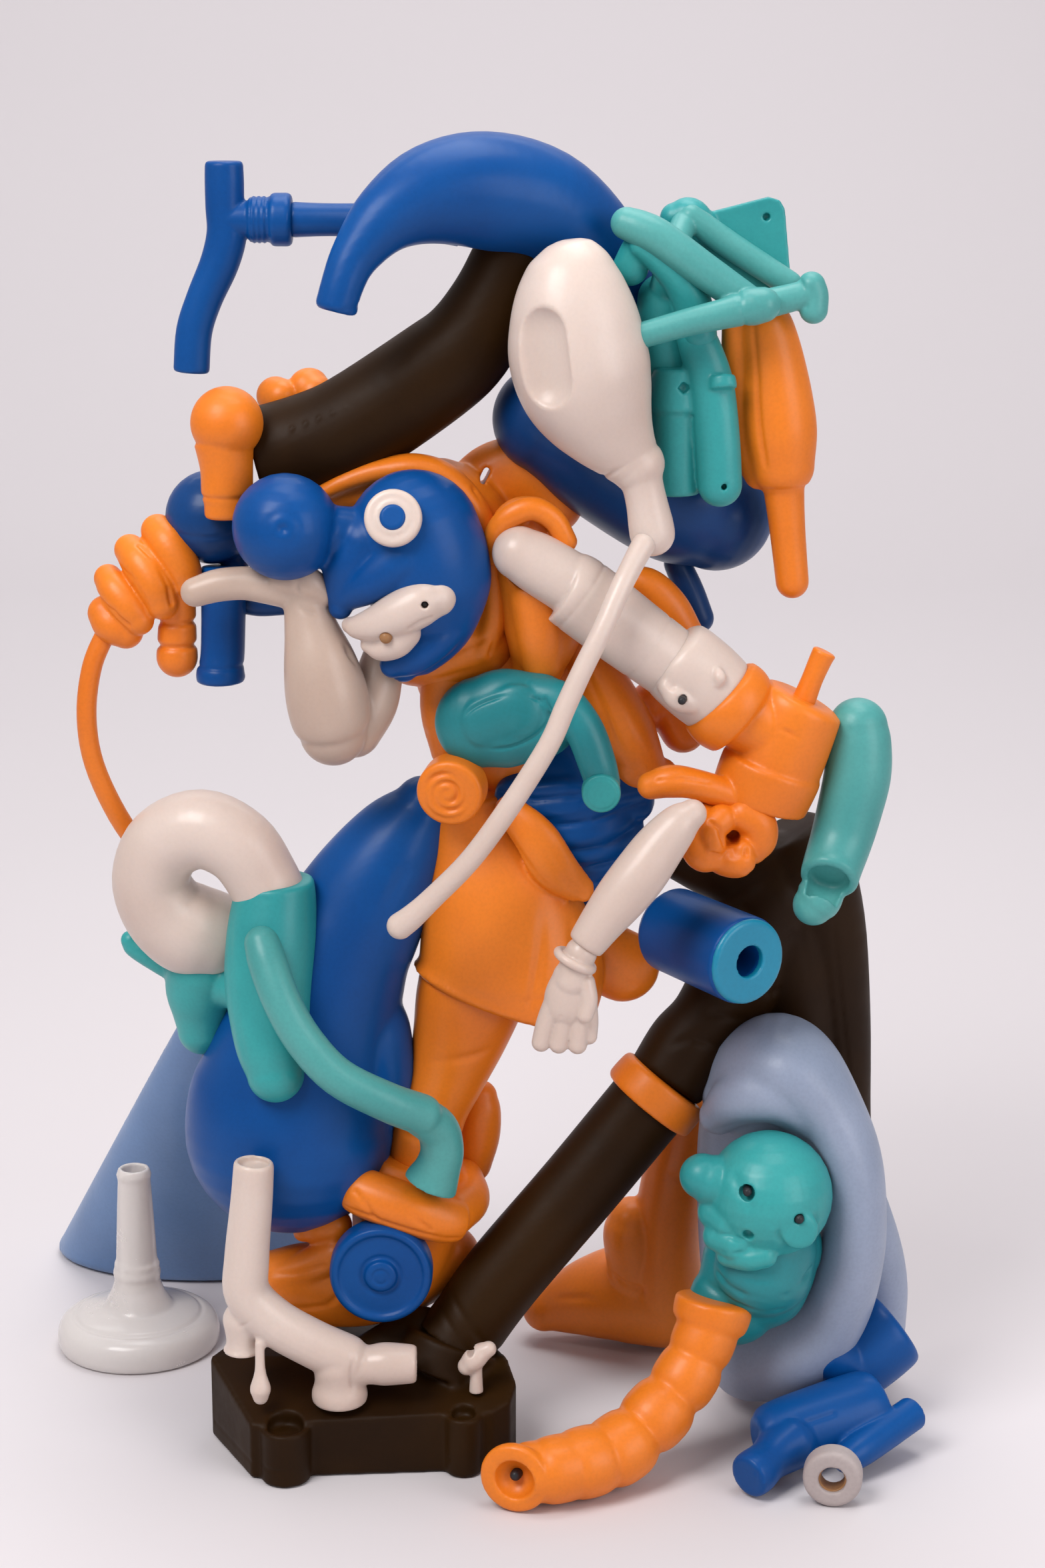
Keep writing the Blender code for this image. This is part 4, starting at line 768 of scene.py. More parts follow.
def mask_head():
    """The blue mask: an egg-shaped head, a brow that juts left, a ball nose on a neck and a chin point."""
    egg = limb([(-23.4, -13, 301, 20.6), (-21, -13, 293, 20.8), (-19.6, -12, 284, 19.8),
        (-20, -12, 274, 15.2), (-24, -12, 264, 9.4), (-27, -13, 259.6, 4.6)], "round", "round", depth=0.92,
        sides=72)
    brow = limb([(-38, -17, 299, 11.0), (-42.6, -18, 292, 9.4), (-45, -19, 285, 6.4), (-46, -20, 280, 3.8)],
        sides=56)
    cheek = limb([(-44, -21, 283.4, 4.4), (-36, -24, 289, 7.0), (-26, -24, 296, 9.0)], sides=48)
    neck = limb([(-50, -18, 303, 8.6), (-44, -17, 302.4, 8.4), (-34, -15, 299, 11.6)], sides=48)
    nose = ball(-62.5, -20, 305, 16.4)
    chin = limb([(-30, -20, 262, 4.2), (-24, -21, 264.6, 5.6), (-17, -20, 270, 6.2), (-9, -15, 277, 5.6)])
    socket = disc((-29, -34.2, 309.8), (0.05, 1, -0.3), 9.2, 5.0, sides=64)
    folds = [
        (arc((-62, -36.6, 307), 5.2, up=(0, 0.2, 1)), 1.6, 0.35),
        ([(-62, -36.6, 307)], 1.6, 1.2),
        (arc((-49, -18, 302.6), 8.8, across=(0, 1, 0), up=(-0.1, 0, 1)), 1.4, 0.6),
    ]
    form("mask_head", "blue", [egg, brow, cheek, neck, nose, chin], holes=[socket], voxel=0.7, rounds=12,
        grooves=folds)


def eye_ring():
    """The cream eye with its blue pupil, both domed."""
    axis = Vector((0.05, 1, -0.3)).normalized()
    centre = Vector((-29, -32.2, 309.6))
    white = disc(centre, axis, 8.8, 4.4, sides=80)
    dome = limb([(*(centre - axis * 1.0), 7.4), (*(centre - axis * 2.6), 5.8)], "round", "soft", sides=64)
    hollow = ([tuple(centre - axis * 2.8)], 4.6, 0.7)
    form("eye_ring", "cream", [white, dome], voxel=0.45, rounds=10, grooves=[hollow])
    pupil = limb([(*(centre - axis * 1.0), 4.6), (*(centre - axis * 3.0), 3.9)], "round", "soft", sides=56)
    extra("eye_pupil", "blue", "head", [pupil], voxel=0.4, rounds=8)


def jaw_insert():
    """The cream jaw under the brow: a thin lip on the left, a nostril, a holed cheek and a chin."""
    jaw = limb([(-43, -23, 275, 2.6), (-40, -25.6, 275, 4.0), (-35, -27.6, 276.4, 5.4),
        (-28, -28.6, 279.4, 7.0), (-21, -28.6, 283, 7.2), (-16, -27.6, 284.4, 5.8)], sides=48)
    chin = limb([(-37, -25, 269.4, 2.8), (-33.4, -26, 268.6, 4.2), (-29, -27, 270.4, 5.0),
        (-26, -27, 273.4, 5.0)])
    nostril = limb([(-31.6, -37, 272.6, 2.0), (-31.6, -29, 273.4, 1.5)], "flat", "round", steps=1)
    cheek = limb([(-19.6, -38, 283.6, 1.2), (-19.6, -30, 283.4, 1.1)], "flat", "round", steps=1)
    folds = [
        ([(-43, -29, 271.6), (-38, -31.4, 271.8), (-34.6, -32.4, 271.2)], 0.7, 0.8),
        ([(-24, -34, 276.4), (-21, -34.4, 278.4), (-18, -33.6, 279.4)], 0.8, 0.6),
    ]
    form("jaw_insert", "cream", [jaw, chin], holes=[nostril, cheek], voxel=0.45, rounds=7, grooves=folds)
    # a tan plug in the nostril and a dark one in the cheek hole: painted shade in the holes
    tan = limb([(-31.6, -32, 273, 2.0), (-31.6, -29.4, 273.4, 1.6)])
    extra("nostril", "tan", "head", [tan], voxel=0.4, rounds=6)
    dark = limb([(-19.6, -33, 283.6, 1.2), (-19.6, -31, 283.5, 1.2)])
    extra("cheek_hole_shade", "dark", "head", [dark], voxel=0.3, rounds=4)


# ---- left arm and its grip ------------------------------------------------------------------------


def left_forearm():
    """The raised cream arm: a pointing finger, a thumb, a forearm and the upper arm behind it."""
    finger = limb([(-91, -16, 284, 4.6), (-84, -15.4, 286, 5.1), (-76, -15, 286.6, 5.2),
        (-68, -15, 285.6, 5.6), (-58, -15, 284, 6.4)], sides=44)
    knuckle = limb([(-64, -18, 288, 4.4), (-57, -19, 287.6, 5.4), (-52, -18, 284, 4.6)])
    forearm = limb([(-57, -16, 281, 6.8), (-55.4, -17, 273, 8.4), (-53, -18, 263, 11.2),
        (-51, -18, 253, 12.8), (-49.6, -17.6, 244, 12.4), (-49, -17, 240, 10.6)], sides=56)
    upper = limb([(-33, -3, 266, 5.6), (-35, -4, 256, 7.4), (-38, -6, 247, 8.8), (-43, -10, 239, 8.8)],
        sides=48)
    folds = [
        ([(-43.5, -24, 272), (-42.5, -20, 258), (-41.5, -20, 246), (-43, -20, 236)], 1.2, 1.4),
        ([(-66, -22, 281), (-60, -24, 281.4), (-54, -24, 279)], 0.9, 0.8),
        ([(-58, -22, 292), (-59, -24, 287), (-58, -24, 282)], 0.8, 0.6),
    ]
    # the forearm takes the darker copy of cream: painted shade
    form("left_forearm", "cream_painted_shade", [finger, knuckle, forearm, upper], voxel=0.7, rounds=12, grooves=folds)


def left_ball():
    """The dark blue ball behind the raised arm, and the short bar under it."""
    joint = ball(-88, 12, 303, 14.9)
    bar = limb([(-82, 12, 276, 3.4), (-74, 12, 274.6, 3.5), (-64, 12, 275, 3.4)])
    drop = limb([(-81, 12, 294, 4.4), (-81, 12, 275, 3.8)], steps=1)
    form("left_ball", "navy", [joint, bar, drop], voxel=0.8, rounds=10,
        grooves=[(arc((-88, 12, 303), 14.9, across=(1, 0, 0), up=(0, 1, 0.3)), 0.6, 0.25)])


def blue_handle():
    """The blue grip that hangs behind the fist, dished at its lower end."""
    grip = limb([(-84.5, 8, 288, 7.4), (-84.7, 7.4, 276, 7.1), (-85.2, 7, 262, 7.0), (-85.6, 6.4, 257, 7.1),
        (-86, 6, 253.6, 7.8), (-86, 6, 250.8, 7.6)], "soft", "soft", sides=56)
    dish = limb([(-86, 6, 248, 5.0), (-86, 6, 252.4, 5.0)], "flat", "flat", steps=1, sides=40)
    form("blue_handle", "blue", [grip], holes=[dish], voxel=0.6, rounds=8,
        grooves=[(arc((-85.7, 6.3, 256.6), 7.6, up=(0, 1, 0)), 0.7, 0.5)])


def left_fist():
    """The orange fist at the far left, with rolls of fingers, a side lobe and a ribbed spout."""
    rolls = [
        limb([(-105, 9, 299, 5.4), (-101, 5, 295, 6.4), (-97, 3, 288, 6.0), (-96, 3, 284, 5.2)]),
        limb([(-114, 9, 293, 5.0), (-110, 4, 289.4, 6.2), (-105.4, 1, 283, 6.2), (-103.4, 0.6, 277.4, 5.2)]),
        limb([(-121, 8, 284, 4.6), (-118, 3.6, 281, 5.6), (-114, 1.6, 276.4, 5.8), (-111, 1.6, 272, 5.0)]),
        limb([(-122, 7, 273, 5.8), (-119.6, 5, 269.8, 6.2), (-115.6, 5, 267.6, 5.6)]),
    ]
    palm = ball(-104, 10, 281, 10.5)
    spout = limb([(-100, 7, 281, 6.6), (-99.4, 7, 273, 6.0), (-99.6, 7, 266, 6.2), (-99.8, 7, 259, 6.6)],
        "round", "round", sides=44)
    rings = [(arc((-99.6, 7, z), 6.6, up=(0, 1, 0)), 1.0, 1.1) for z in (270.5, 263)]
    creases = [
        ([(-110, 2, 296), (-104, -3, 291.4), (-100.4, -4, 284), (-100, -3, 278)], 0.9, 0.9),
        ([(-118, 3, 289), (-112, -4, 285.4), (-108.6, -5, 279), (-107, -4, 273)], 0.9, 0.9),
        ([(-124, 3, 279), (-118, -2, 275.6), (-114, -3, 271)], 0.9, 0.7),
    ]
    form("left_fist", "orange", [*rolls, palm, spout], voxel=0.5, rounds=6, grooves=rings + creases)


def orange_hose():
    """The thin stiff hose that bows from the fist down behind the hook."""
    hose = limb([(-119, 6, 271, 3.0), (-123, 6, 265, 3.2), (-127, 5, 255, 3.2), (-129, 5, 240, 3.2),
        (-127.4, 7, 224, 3.2), (-121, 11, 206, 3.3), (-112, 15, 190, 3.3)], "flat", "round", sides=32)
    form("orange_hose", "orange", [hose], voxel=0.5, rounds=8)


# ---- top --------------------------------------------------------------------------------------------


def blue_arch():
    """The big glossy arch over the top: its thin left end is flat, its right end sits on the capsule."""
    bow = limb([(-46, -24, 370.6, 6.4), (-44, -23.4, 378, 6.4), (-40, -21, 387, 7.4),
        (-31, -16, 397.5, 10.6), (-18, -8, 404, 15.0), (-2, 0, 405, 17.7), (16, 8, 400, 17.6),
        (31, 16, 387.4, 15.6), (43, 24, 370, 13.0), (49, 27, 352, 11.5)], "soft", "round", sides=72)
    form("blue_arch", "blue", [bow], voxel=0.9, rounds=10,
        grooves=[(arc((-45.6, -23.8, 372.6), 6.6, across=(1, 0, 0), up=(0, 1, 0.2)), 0.7, 0.3)])


def crank_shaft():
    """The short shaft from the arch to the crank."""
    bar = limb([(-61, 4, 396, 5.4), (-50, 3.6, 396, 5.0), (-36, 3, 396, 5.2), (-24, 3, 396.4, 6.2),
        (-10, 2, 397, 9.0)], "soft", "flat", sides=48)
    form("crank_shaft", "blue", [bar], voxel=0.6, rounds=6)


def crank_handle():
    """The S-shaped lever that turns on the shaft, with flat ends, and its collar of fine rings and a cuff."""
    lever = limb([(-81, 4, 413.6, 5.8), (-81, 4, 408, 6.0), (-81, 4, 400, 6.0), (-80.6, 4, 392, 6.2),
        (-83, 4, 383, 6.0), (-88, 4, 372, 5.6), (-91.4, 4, 362, 5.6), (-92.6, 4, 349.4, 5.6)], "soft",
        "soft", depth=0.9, sides=48)
    core = limb([(-81, 4, 396, 5.6), (-60.6, 4, 396, 6.2)], "soft", "soft", steps=1, sides=48)
    collar = disc((-70.6, 4, 396), (1, 0, 0), 7.2, 6.4, sides=64)
    cuff = disc((-63.9, 4, 396), (1, 0, 0), 8.1, 6.8, sides=64)
    ribs = [(arc((x, 4, 396), 7.3, across=(0, 1, 0), up=(0, 0, 1)), 0.45, 0.4)
        for x in (-73, -71.4, -69.8, -68.2)]
    form("crank_handle", "blue", [lever, core, collar, cuff], voxel=0.45, rounds=5, grooves=ribs)


def upper_tube():
    """The big dark tube that curves down from the arch to the bulb, with a row of short ribs on its front."""
    tube = limb([(8, 9, 394, 10.0), (6, 9, 384, 11.8), (1, 9, 371, 13.4), (-7, 9, 358, 15.0),
        (-18, 9, 348.6, 16.0), (-42, 9, 332.6, 16.4), (-56, 9, 326.8, 16.0), (-73, 9, 322.6, 15.2)], "soft",
        "soft", sides=64)
    ticks = []
    for i in range(9):
        x = -62 + 4.2 * i
        z = 331 + 1.5 * i
        ticks.append(([(x - 0.8, -4, z - 3.5), (x + 1.0, -5, z + 2.5)], 0.6, -0.45))
    form("upper_tube", "brown", [tube], voxel=0.8, rounds=10, grooves=ticks)


def bulb_fitting():
    """The orange bulb at the dark tube's end, and its stepped neck."""
    ball_end = ball(-81, -6, 335, 11.3)
    neck = limb([(-82, -6, 329, 9.2), (-81.4, -6, 321, 8.2), (-81.4, -6, 313.4, 8.0), (-81.2, -6, 311, 7.5),
        (-81, -6, 305.6, 7.5)], "flat", "soft", sides=48)
    form("bulb_fitting", "orange", [ball_end, neck], voxel=0.6, rounds=10,
        grooves=[(arc((-81.3, -6, 312.4), 8.0, up=(0, 1, 0)), 0.7, 0.5)])


def lobed_knob():
    """The two orange lobes behind the bulb."""
    lobes = [
        limb([(-68, 22, 340, 6.2), (-66, 20, 340, 5.8)]),
        limb([(-57.4, 22, 342, 6.9), (-55.6, 20, 341, 6.2)]),
        limb([(-67, 22, 339, 4.8), (-57, 22, 340, 4.8)]),
    ]
    form("lobed_knob", "orange", lobes, voxel=0.55, rounds=8)


def horn():
    """The fat cream teardrop with one oval dish in its left face, and a stepped neck."""
    drop = limb([(24.6, -18, 391.6, 4.0), (24.8, -18, 389.8, 7.6), (25, -18, 386, 11.6),
        (25, -18, 381, 14.9), (25.2, -18, 374, 17.9), (25.8, -18, 366, 20.0), (26.8, -18, 357, 21.1),
        (29.6, -18, 348, 20.5), (33.4, -18, 340, 17.8), (37.6, -18, 333, 13.9), (42, -18, 327, 10.2),
        (44.6, -18, 324, 8.8)], "soft", "round", sides=80, depth=0.9)
    neck = limb([(45.4, -18, 323, 7.4), (46.6, -18, 318, 6.4), (48, -18, 312, 6.4), (49.2, -18, 306, 6.9),
        (49.8, -18, 302.6, 7.0)], sides=48)
    dish = limb([(12.8, -38, 365, 10.4), (14.6, -38.6, 350, 10.4)], steps=1, sides=64)
    step = (arc((43.2, -18, 325.6), 9.8, across=(0.87, 0, 0.5), up=(0, 1, 0)), 0.8, 0.6)
    form("horn", "cream", [drop, neck], holes=[dish], voxel=0.65, rounds=6, grooves=[step])


def thin_rod():
    """The long thin cream rod that hangs from the horn's tip and crosses the figure."""
    rod = limb([(46.8, -23.6, 300, 3.7), (44.4, -26.4, 296.2, 3.5), (39.8, -32, 288.2, 3.3),
        (34.6, -36, 276.9, 3.2), (28.7, -38, 265.2, 3.2), (23.2, -39.4, 253.3, 3.3),
        (17.8, -40.6, 241, 3.3), (6, -41, 222, 3.4), (-6, -40, 205, 3.4), (-18, -38, 192, 3.5),
        (-24, -37, 186, 3.9), (-28, -36, 182.6, 4.2)], sides=36)
    form("thin_rod", "cream", [rod], voxel=0.5, rounds=8)


def blue_capsule():
    """The dark blue capsule under the arch, with a seam along its front."""
    body = limb([(18, 20, 333, 17.6), (28, 21, 328, 20.2), (40, 22, 320, 21.6), (60, 24, 308, 22.0),
        (72, 26, 302, 18.5)], sides=72)
    seam = [(26, -2, 306), (40, 1, 299), (56, 2, 292), (70, 5, 288), (84, 8, 289), (90, 14, 294)]
    form("blue_capsule", "navy", [body], voxel=1.0, rounds=12, grooves=[(seam, 0.9, 0.6)])


def teal_frame():
    """The crossed teal bars with the tee end, and behind them the holed corner plate and the lower body."""
    bars = [
        limb([(41.6, -8, 395.6, 5.0), (46, -9, 394, 5.5), (52, -10, 391, 5.6), (66, -11, 381, 5.4),
            (80, -12, 371.4, 5.0)]),
        limb([(44, -20, 362.6, 3.9), (60, -19, 367, 4.2), (74, -18, 370.2, 4.8), (79, -17, 371.4, 5.7),
            (82.4, -17, 372, 5.4)]),
        limb([(61.6, 5, 396.6, 4.2), (74, 4.4, 388, 4.2), (92, 2, 376.6, 4.0)]),
        limb([(82, -8, 371, 4.6), (92, -8, 373.4, 4.3), (98, -8, 375, 4.2)]),
        limb([(97.8, -8, 377, 4.3), (98.8, -8, 374, 4.3), (98.6, -8, 369.8, 4.4)]),
        limb([(60, 6, 396, 4.0), (56, -6, 388, 4.0)], steps=1),
    ]
    rings = [
        (arc((76, -17.8, 370.6), 5.4, across=(0, 1, 0), up=(-0.2, 0, 1)), 0.7, 0.5),
        (arc((95.4, -8, 374.2), 4.8, across=(0, 1, 0), up=(-0.2, 0, 1)), 0.6, 0.4),
    ]
    form("teal_frame", "teal_light", bars, voxel=0.55, rounds=7, grooves=rings)
    plate = slab([(60, 387), (65, 396.6), (67.5, 398), (85.5, 402.6), (89, 401.6), (90.6, 399), (92.6, 380),
        (90, 374), (80, 371)], 7.4, 11, upright=True)
    block = limb([(56.8, 8, 396.4, 4.6), (61, 8, 396.8, 5.9), (64, 8, 394, 5.8)])
    knuckle = limb([(43, -2, 382, 5.6), (45, -4, 388, 4.8), (47, -6, 392, 3.6)])
    curl = limb([(46, -8, 389, 3.8), (52, -7, 385, 5.0), (58, -6, 379, 5.8), (62, -5, 371, 6.0),
        (64, -5, 362, 5.6)])
    rear = limb([(53, 5, 372, 7.6), (53, 5, 362, 8.0), (55, 5, 352, 7.8)])
    rear_link = limb([(53, 5, 370, 5.0), (54, -4, 382, 4.0)], steps=1)
    plate_hole = limb([(85, -4, 396.6, 1.2), (85, 9.8, 396.6, 1.2)], "flat", "flat", steps=1)
    folds = [
        ([(46, -6, 375), (50, -4, 372), (58, -4, 370)], 1.0, 0.9),
        ([(47, -4, 366), (52, -4, 363), (58, -4, 362)], 1.0, 0.9),
    ]
    extra("teal_frame_back", "teal", "root", [plate, block, knuckle, curl, rear, rear_link],
        holes=[plate_hole], voxel=0.5, rounds=5, grooves=folds)


def teal_link():
    """The upright teal link with a small hole in its round lower end, and the lidded box beside it."""
    upright = limb([(62, -4, 364, 5.8), (65, -5, 356, 6.6), (68, -6, 346, 7.0), (70, -7, 330, 7.0),
        (71, -7, 316, 6.9)], depth=0.8, sides=48)
    boss = limb([(71, -11, 350, 4.0), (71.4, -12, 346, 4.2)], "soft", "soft", depth=0.8)
    box = limb([(57.6, 0, 351, 7.4), (57.6, 0, 349, 8.0), (57.6, 0, 312, 7.8)], "soft", "soft", steps=1,
        sides=36)
    lid = limb([(57.6, -1, 351.6, 7.4), (57.6, -1, 339, 8.4), (57.6, -1, 337.4, 7.8)], "soft", "soft",
        steps=1, sides=36)
    hole = limb([(72, -18, 316, 1.1), (72, -9, 316, 1.0)], "flat", "round", steps=1)
    socket = limb([(59.4, -16, 346, 2.0), (59.4, -6, 346, 2.0)], "flat", "flat", steps=1, sides=4)
    form("teal_link", "teal", [upright, boss, box, lid], holes=[hole, socket], voxel=0.55, rounds=7,
        grooves=[([(50, -6, 337), (54, -9, 336.8), (60, -9, 336.8), (65, -6, 337)], 0.7, 0.7)])


def orange_bottle():
    """The orange bottle with a rounded flange on its left, a ledge under it and a long neck."""
    body = limb([(84, 2, 369, 6.6), (85, 2, 364, 8.4), (87, 2, 354, 9.8), (88.6, 2, 342, 11.2),
        (90, 2, 331, 11.5), (90.8, 2, 321, 10.2)], "soft", "round", sides=64)
    flange = limb([(76, 3, 364, 4.6), (77, 3, 352, 5.6), (78, 3, 338, 5.8), (80, 3, 326, 5.4),
        (84, 3, 318, 5.0)], depth=0.9, sides=40)
    neck = limb([(91, 2, 322, 7.6), (91.6, 2, 313, 6.4), (93, 2, 300, 5.6), (94.8, 2, 284, 5.2)], "flat",
        "round", sides=48)
    form("orange_bottle", "orange", [body, flange, neck], voxel=0.7, rounds=10,
        grooves=[([(80, -5.6, 366), (81.6, -7, 350), (82.6, -7.6, 336), (84.6, -7.4, 322)], 1.0, 0.8),
        (arc((91.4, 2, 314.4), 7.4, up=(0, 1, 0)), 0.8, 0.4)])


# ---- right arm ------------------------------------------------------------------------------------------


def shoulder_sleeve():
    """The open orange sleeve at the shoulder: one smooth front under the arm, with a rolled rim over it."""
    sleeve = limb([(11, 0, 300, 11.4), (14, 0, 290, 13.2), (16, 0, 278, 13.2), (16.4, 0, 268, 12.2),
        (15, 2, 258, 8.8)], sides=64)
    front = limb([(14, -7, 281, 8.6), (15.6, -7, 270, 8.2), (16, -5, 260, 6.6)], sides=56)
    rim = limb([(1, -7, 294, 3.2), (1.6, -11, 301, 3.6), (6, -13, 307, 3.8), (13, -13, 309.6, 3.8),
        (19.6, -12, 306, 3.6), (23.6, -11, 299, 3.4)])
    mouth = limb([(11, -27, 295, 8.6), (13, -6, 291, 8.0)], "flat", "round", steps=1, sides=48)
    form("shoulder_sleeve", "orange", [sleeve, front, rim], holes=[mouth], voxel=0.7, rounds=10,
        grooves=[([(4, -12, 290), (6, -15, 280), (10, -15, 268)], 1.2, 0.5)])


def right_arm():
    """The cream arm: an inner tube, and an outer sleeve whose edge shows as a step."""
    inner = limb([(9, -15, 296, 8.4), (15, -15, 292.6, 9.4), (29, -15, 284, 9.8)], sides=64)
    outer = limb([(24, -15, 285.6, 10.8), (25.8, -15, 284.4, 12.0), (36, -15, 276.6, 12.0),
        (46, -15, 269, 11.6), (60, -14, 258.4, 11.0)], "soft", "flat", sides=72)
    bands = [(arc((x, -15, z), 11.8, across=(0, 1, 0), up=(0.6, 0, 0.8)), 0.6, 0.3)
        for x, z in ((28, 282.8), (49, 266.8))]
    form("right_arm", "cream", [inner, outer], voxel=0.65, rounds=8, grooves=bands)


def shoulder_back():
    """What shows behind the arm: a short orange tab and the end of a dark strap."""
    tab = limb([(16, 8, 280, 4.4), (30, 12, 277, 4.4), (44, 12, 282, 4.4), (50, 12, 281, 5.6),
        (57, 12, 274, 6.0), (63, 12, 265, 5.0)])
    extra("shoulder_tab", "orange", "root", [tab], voxel=0.7, rounds=8)
    strap = limb([(60, 30, 285, 4.4), (64, 30, 276, 4.8), (67.4, 30, 267, 4.8)])
    extra("shoulder_strap", "navy", "root", [strap], voxel=0.7, rounds=8)


def arm_cuff():
    """The thick cream cuff, with a wandering upper edge, a small hole and a bump."""
    cuff = limb([(55.4, -14, 264.4, 11.0), (57, -14, 263, 12.8), (60, -14, 260.6, 13.6),
        (66, -14, 255.4, 13.8), (72, -14, 250.2, 13.2)], "soft", "soft", sides=64)
    tab = limb([(55, -24, 256, 3.4), (58, -25, 252.6, 4.0), (62, -24, 251, 3.6)])
    bump = limb([(70, -26, 261, 1.6), (70.6, -27, 259.4, 2.0), (70, -27, 257.6, 1.4)])
    hole = limb([(58.8, -36, 252.6, 1.3), (59.4, -27, 253, 1.2)], "flat", "round", steps=1)
    nick = limb([(53, -28, 260, 1.8), (56, -28, 257, 1.5)])
    form("arm_cuff", "cream", [cuff, tab, bump], holes=[hole, nick], voxel=0.5, rounds=7)
    # a dark plug in the cuff's hole: painted shade
    dark = limb([(58.9, -30, 252.8, 1.3), (59.3, -27, 253, 1.2)])
    extra("cuff_hole_shade", "dark", "right_arm", [dark], voxel=0.3, rounds=4)


def canister():
    """The orange end of the arm: a cuff ring, the can with its slot and lip, and the strap to the fist."""
    ring = limb([(70.6, -14, 251.4, 13.4), (72, -14, 250, 14.8), (75.4, -14, 247, 15.2),
        (79, -14, 244, 14.0)], "soft", "soft", sides=64)
    can = limb([(98, -12, 250, 11.6), (97, -12, 248, 13.6), (95, -12, 243, 14.2), (92, -12, 235, 14.6),
        (89, -12, 227, 14.8)], "soft", "flat", sides=72)
    neck = limb([(76, -14, 247, 11.6), (88, -13, 240, 12.0)], steps=1)
    lip = limb([(88.8, -12, 228.6, 15.0), (88.2, -12, 227, 16.2), (84.6, -12, 217.6, 15.6),
        (84, -12, 215.8, 14.4)], "soft", "soft", sides=72)
    strap = limb([(50, -22, 224, 4.4), (56, -23, 225.6, 5.2), (64, -22, 224.4, 4.8), (76, -20, 220, 5.0)])
    ear = limb([(100, -10, 234, 4.0), (101, -10, 228, 4.2)])
    folds = [
        ([(88, -26, 244), (91, -26.4, 242.6), (95, -25.6, 240.2)], 0.6, 0.9),
        ([(52, -27, 226.8), (60, -27.6, 227.6), (68, -26, 226)], 0.6, 0.5),
    ]
    form("canister", "orange", [ring, can, neck, lip, strap, ear], voxel=0.65, rounds=8, grooves=folds)


def canister_lever():
    """The short lever that stands on the can, with a ball foot about which it tilts."""
    stick = limb([(98, -14, 250, 3.7), (100.2, -14, 256, 3.4), (102.6, -14, 262, 3.6),
        (104, -14, 265, 3.8)], "round", "soft", sides=40)
    form("canister_lever", "orange", [stick], voxel=0.4, rounds=7)


def right_fist():
    """The orange fist below the can: four curled fingers round a small hole."""
    palm = limb([(67, -20, 213, 5.4), (74, -18, 212, 7.0), (82, -20, 212, 6.4)])
    fingers = [
        limb([(66.6, -22, 212.6, 5.2), (64.4, -24, 207, 5.6), (66, -26, 202.6, 5.2), (70, -26, 201.6, 4.2)]),
        limb([(69, -22, 203.6, 5.0), (73, -24, 201, 5.4), (77.6, -26, 201, 5.4), (78.6, -26, 204, 4.0)]),
        limb([(82, -21, 203.6, 5.2), (84, -22, 207, 5.8), (83.4, -23, 212, 5.8), (79, -23, 215, 5.4)]),
        limb([(72, -25, 214, 4.8), (69, -27, 211, 4.4), (69.6, -28, 206.6, 3.8)]),
    ]
    hollow = limb([(75.6, -36, 208.6, 2.4), (75.8, -18, 208, 2.0)], "flat", "round", steps=1)
    folds = [
        ([(67, -30, 215.4), (71, -31, 212.4), (72.4, -30, 207)], 0.7, 0.8),
        ([(79.4, -30, 215), (80.2, -30, 210), (79.4, -30, 204)], 0.8, 0.8),
        ([(69, -31, 204.6), (73, -31, 203), (77, -31, 204)], 0.7, 0.7),
    ]
    form("right_fist", "orange", [palm, *fingers], holes=[hollow], voxel=0.5, rounds=8, grooves=folds)


def hanging_forearm():
    """The cream forearm that hangs down from the right arm's end."""
    forearm = limb([(62, -38, 219, 4.6), (58, -39, 216, 6.4), (52, -40, 209, 7.8), (46, -42, 201, 8.4),
        (40, -43.4, 193.6, 8.0), (34, -45, 186, 6.8), (29, -46, 179, 5.8)], "round", "soft", sides=56)
    form("hanging_forearm", "cream", [forearm], voxel=0.6, rounds=10)


def hanging_hand():
    """The slack cream hand: a thin rolled bangle, four straight fingers side by side and a folded thumb."""
    across = Vector((1, 0, -0.5)).normalized()
    bangle = limb([(*point, 1.4) for point in arc((26.2, -46, 174.6), 5.9, 0, 354, across=across,
        up=(0, 1, 0), count=40)], "flat", "flat", steps=1, sides=20)
    wrist = limb([(28, -46, 177, 5.0), (26, -46, 172, 5.0), (25, -46, 168, 5.8)])
    palm = limb([(25, -46, 169, 5.8), (24, -46, 164, 7.0), (23.6, -46, 160, 7.2)], depth=0.75)
    fingers = [
        limb([(20.6, -46, 163, 3.4), (17.6, -46.5, 155, 3.3), (15.8, -47, 148.4, 3.0)]),
        limb([(23.4, -46.4, 160, 3.5), (22.2, -47, 153, 3.4), (21.2, -47.6, 148, 3.0)]),
        limb([(27, -46.4, 160, 3.5), (27.2, -47, 153, 3.4), (27, -47.6, 147.8, 3.0)]),
        limb([(30, -45, 162, 3.0), (30.6, -45.6, 155, 2.9), (30.6, -46, 150, 2.6)]),
    ]
    thumb = limb([(29.4, -48, 168, 3.0), (30.4, -49, 162.6, 2.8), (29.4, -50, 158, 2.4)])
    grooves = [
        ([(21.6, -51.6, 158), (20, -51, 152), (18.6, -51, 146)], 0.55, 0.9),
        ([(25, -52, 159), (24.6, -51, 153), (24.2, -51, 146)], 0.55, 0.9),
    ]
    form("hanging_hand", "cream", [bangle, wrist, palm, *fingers, thumb], voxel=0.4, rounds=6,
        grooves=grooves)


